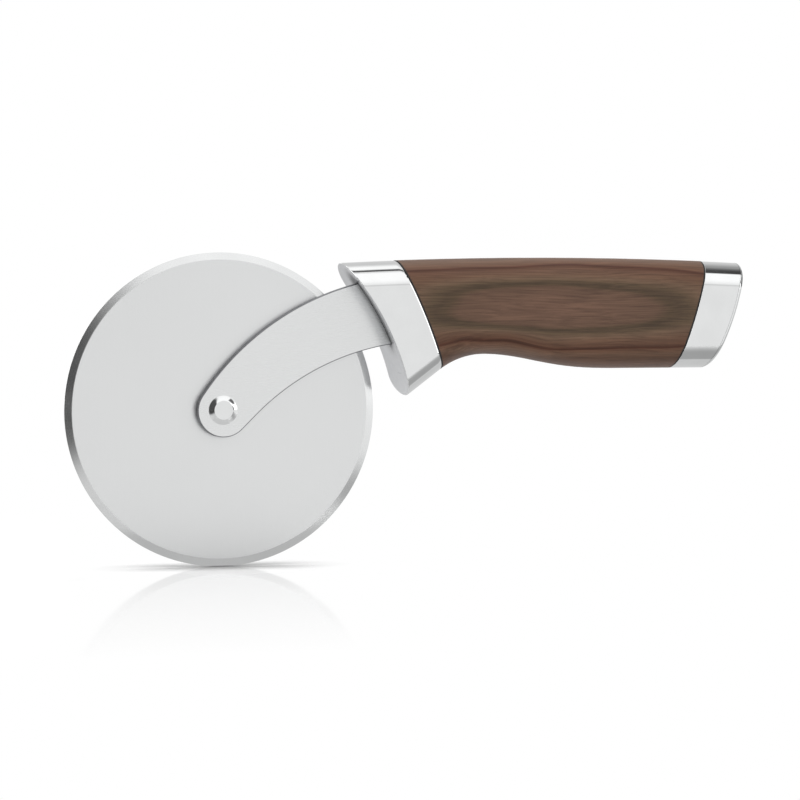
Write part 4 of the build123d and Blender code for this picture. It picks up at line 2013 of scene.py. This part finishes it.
class Frame:
    """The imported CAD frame, with its nodes and the finishes they get."""

    FINISHES: dict[Node, Finish] = {
        Node.BLADE: Finish.BLADE, Node.BUSHING: Finish.BRONZE, Node.AXLE_PIN: Finish.RIVET,
        Node.AXLE_CAP: Finish.RIVET, Node.FRONT_WASHER: Finish.NYLON, Node.REAR_WASHER: Finish.NYLON,
        Node.SPRING_WASHER: Finish.SPRING, Node.ARM: Finish.ARM, Node.BOLSTER: Finish.POLISHED,
        Node.FRONT_LINER: Finish.FIBRE, Node.GRIP: Finish.WALNUT, Node.REAR_LINER: Finish.FIBRE,
        Node.END_CAP: Finish.POLISHED, Node.END_PLATE: Finish.POLISHED, Node.COUPLER: Finish.ZINC,
        Node.PINS: Finish.ZINC, Node.ROD: Finish.ZINC, Node.TIE_WASHER: Finish.ZINC,
        Node.LOCK_WASHER: Finish.ZINC, Node.NUT: Finish.ZINC,
    }

    def __init__(self, nodes: dict[str, bpy.types.Object]) -> None:
        """Keep the frame's nodes and make the finishes.

        Args:
            nodes: The CAD nodes by name.
        """
        self.nodes = nodes
        self.finishes: dict[Finish, bpy.types.Material] = {**self.steels(), **self.others()}

    @staticmethod
    def steels() -> dict[Finish, bpy.types.Material]:
        """Make the stainless steel finishes.

        Returns:
            The materials by finish.
        """
        return {
            Finish.BLADE: BrushedSteel("stainless_sheet_satin").material(),
            Finish.ARM: BrushedSteel("stainless_strap_satin", roughness=0.26, along=Axis.X).material(),
            # The last colour is the dark grey of the painted shade beside the arm and in the face's other
            # inner corners.
            Finish.FACE: CastSteel("stainless_cast_satin", "d2d3d5", "cecfd1", "4e4f52").material(),
            Finish.POLISHED: PolishedSteel("stainless_cast_polished").material(),
            # Ground on a stone: the bands blur to soft ones.
            Finish.BEVEL: PolishedSteel("stainless_bevel_ground", roughness=0.15).material(),
            # Turned and buffed: a little softer than the cast pieces.
            Finish.RIVET: PolishedSteel("stainless_rivet_polished", roughness=0.1).material(),
            # Punched from sheet and left so: a duller grey round the strap, painted darker still as shade,
            # for its walls that face the blade across a narrow gap.
            Finish.EDGE: PolishedSteel("stainless_cut_edge_painted_shade", "86878a", "7c7d80", roughness=0.42,
                                       roughness_spread=0.05).material(),
        }

    @staticmethod
    def others() -> dict[Finish, bpy.types.Material]:
        """Make the finishes of the wood and of the small pieces.

        Returns:
            The materials by finish.
        """
        return {
            Finish.WALNUT: Walnut().material(),
            # Punched from sheet: nearly black and dull, so each joint reads as a fine dark line.
            Finish.FIBRE: PlainFinish("vulcanised_fibre", "2a2420", "1c1815", roughness=0.7).material(),
            # Moulded: milky white with a slight gloss.
            Finish.NYLON: PlainFinish("nylon_natural", "e6e4dc", "dcdad1", roughness=0.45).material(),
            # Pressed from powder and soaked in oil: a dull yellow-brown.
            Finish.BRONZE: PlainFinish("bronze_sintered", "b48a4e", "94703c", metallic=1.0,
                                       roughness=0.45).material(),
            # Punched and hardened: a plain mid grey.
            Finish.SPRING: PlainFinish("spring_steel_tempered", "b4b5b6", "9b9c9d", metallic=1.0,
                                       roughness=0.35).material(),
            # Turned and plated: a cool pale grey.
            Finish.ZINC: PlainFinish("zinc_plated_steel", "b9bbbd", "a3a5a7", metallic=1.0,
                                     roughness=0.32).material(),
        }

    def dress(self) -> None:
        """Give every CAD node its finish."""
        for node, finish in self.FINISHES.items():
            for slot in self.nodes[node.value].material_slots:
                slot.material = self.finishes[finish]
            LOG.info("dressed %s in %s", node.value, self.finishes[finish].name)


def main() -> None:
    """Load the frame, dress it, build the new pieces and the studio."""
    logging.basicConfig(level=logging.INFO, format="%(name)s: %(message)s")
    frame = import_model()
    bpy.context.scene.view_settings.view_transform = "Standard"
    dressed = Frame(frame["nodes"])
    dressed.dress()
    finishes = dressed.finishes
    form, line = HandleForm(), ArmLine()
    Wheel().build(finishes[Finish.BLADE], finishes[Finish.BEVEL])
    Rivet().build(finishes[Finish.RIVET])
    Arm(line).build(finishes[Finish.ARM], finishes[Finish.EDGE])
    Bolster(form, line).build(finishes[Finish.POLISHED], finishes[Finish.FACE])
    EndCap(form).build(finishes[Finish.POLISHED])
    Studio().build()


if __name__ == "__main__":
    main()
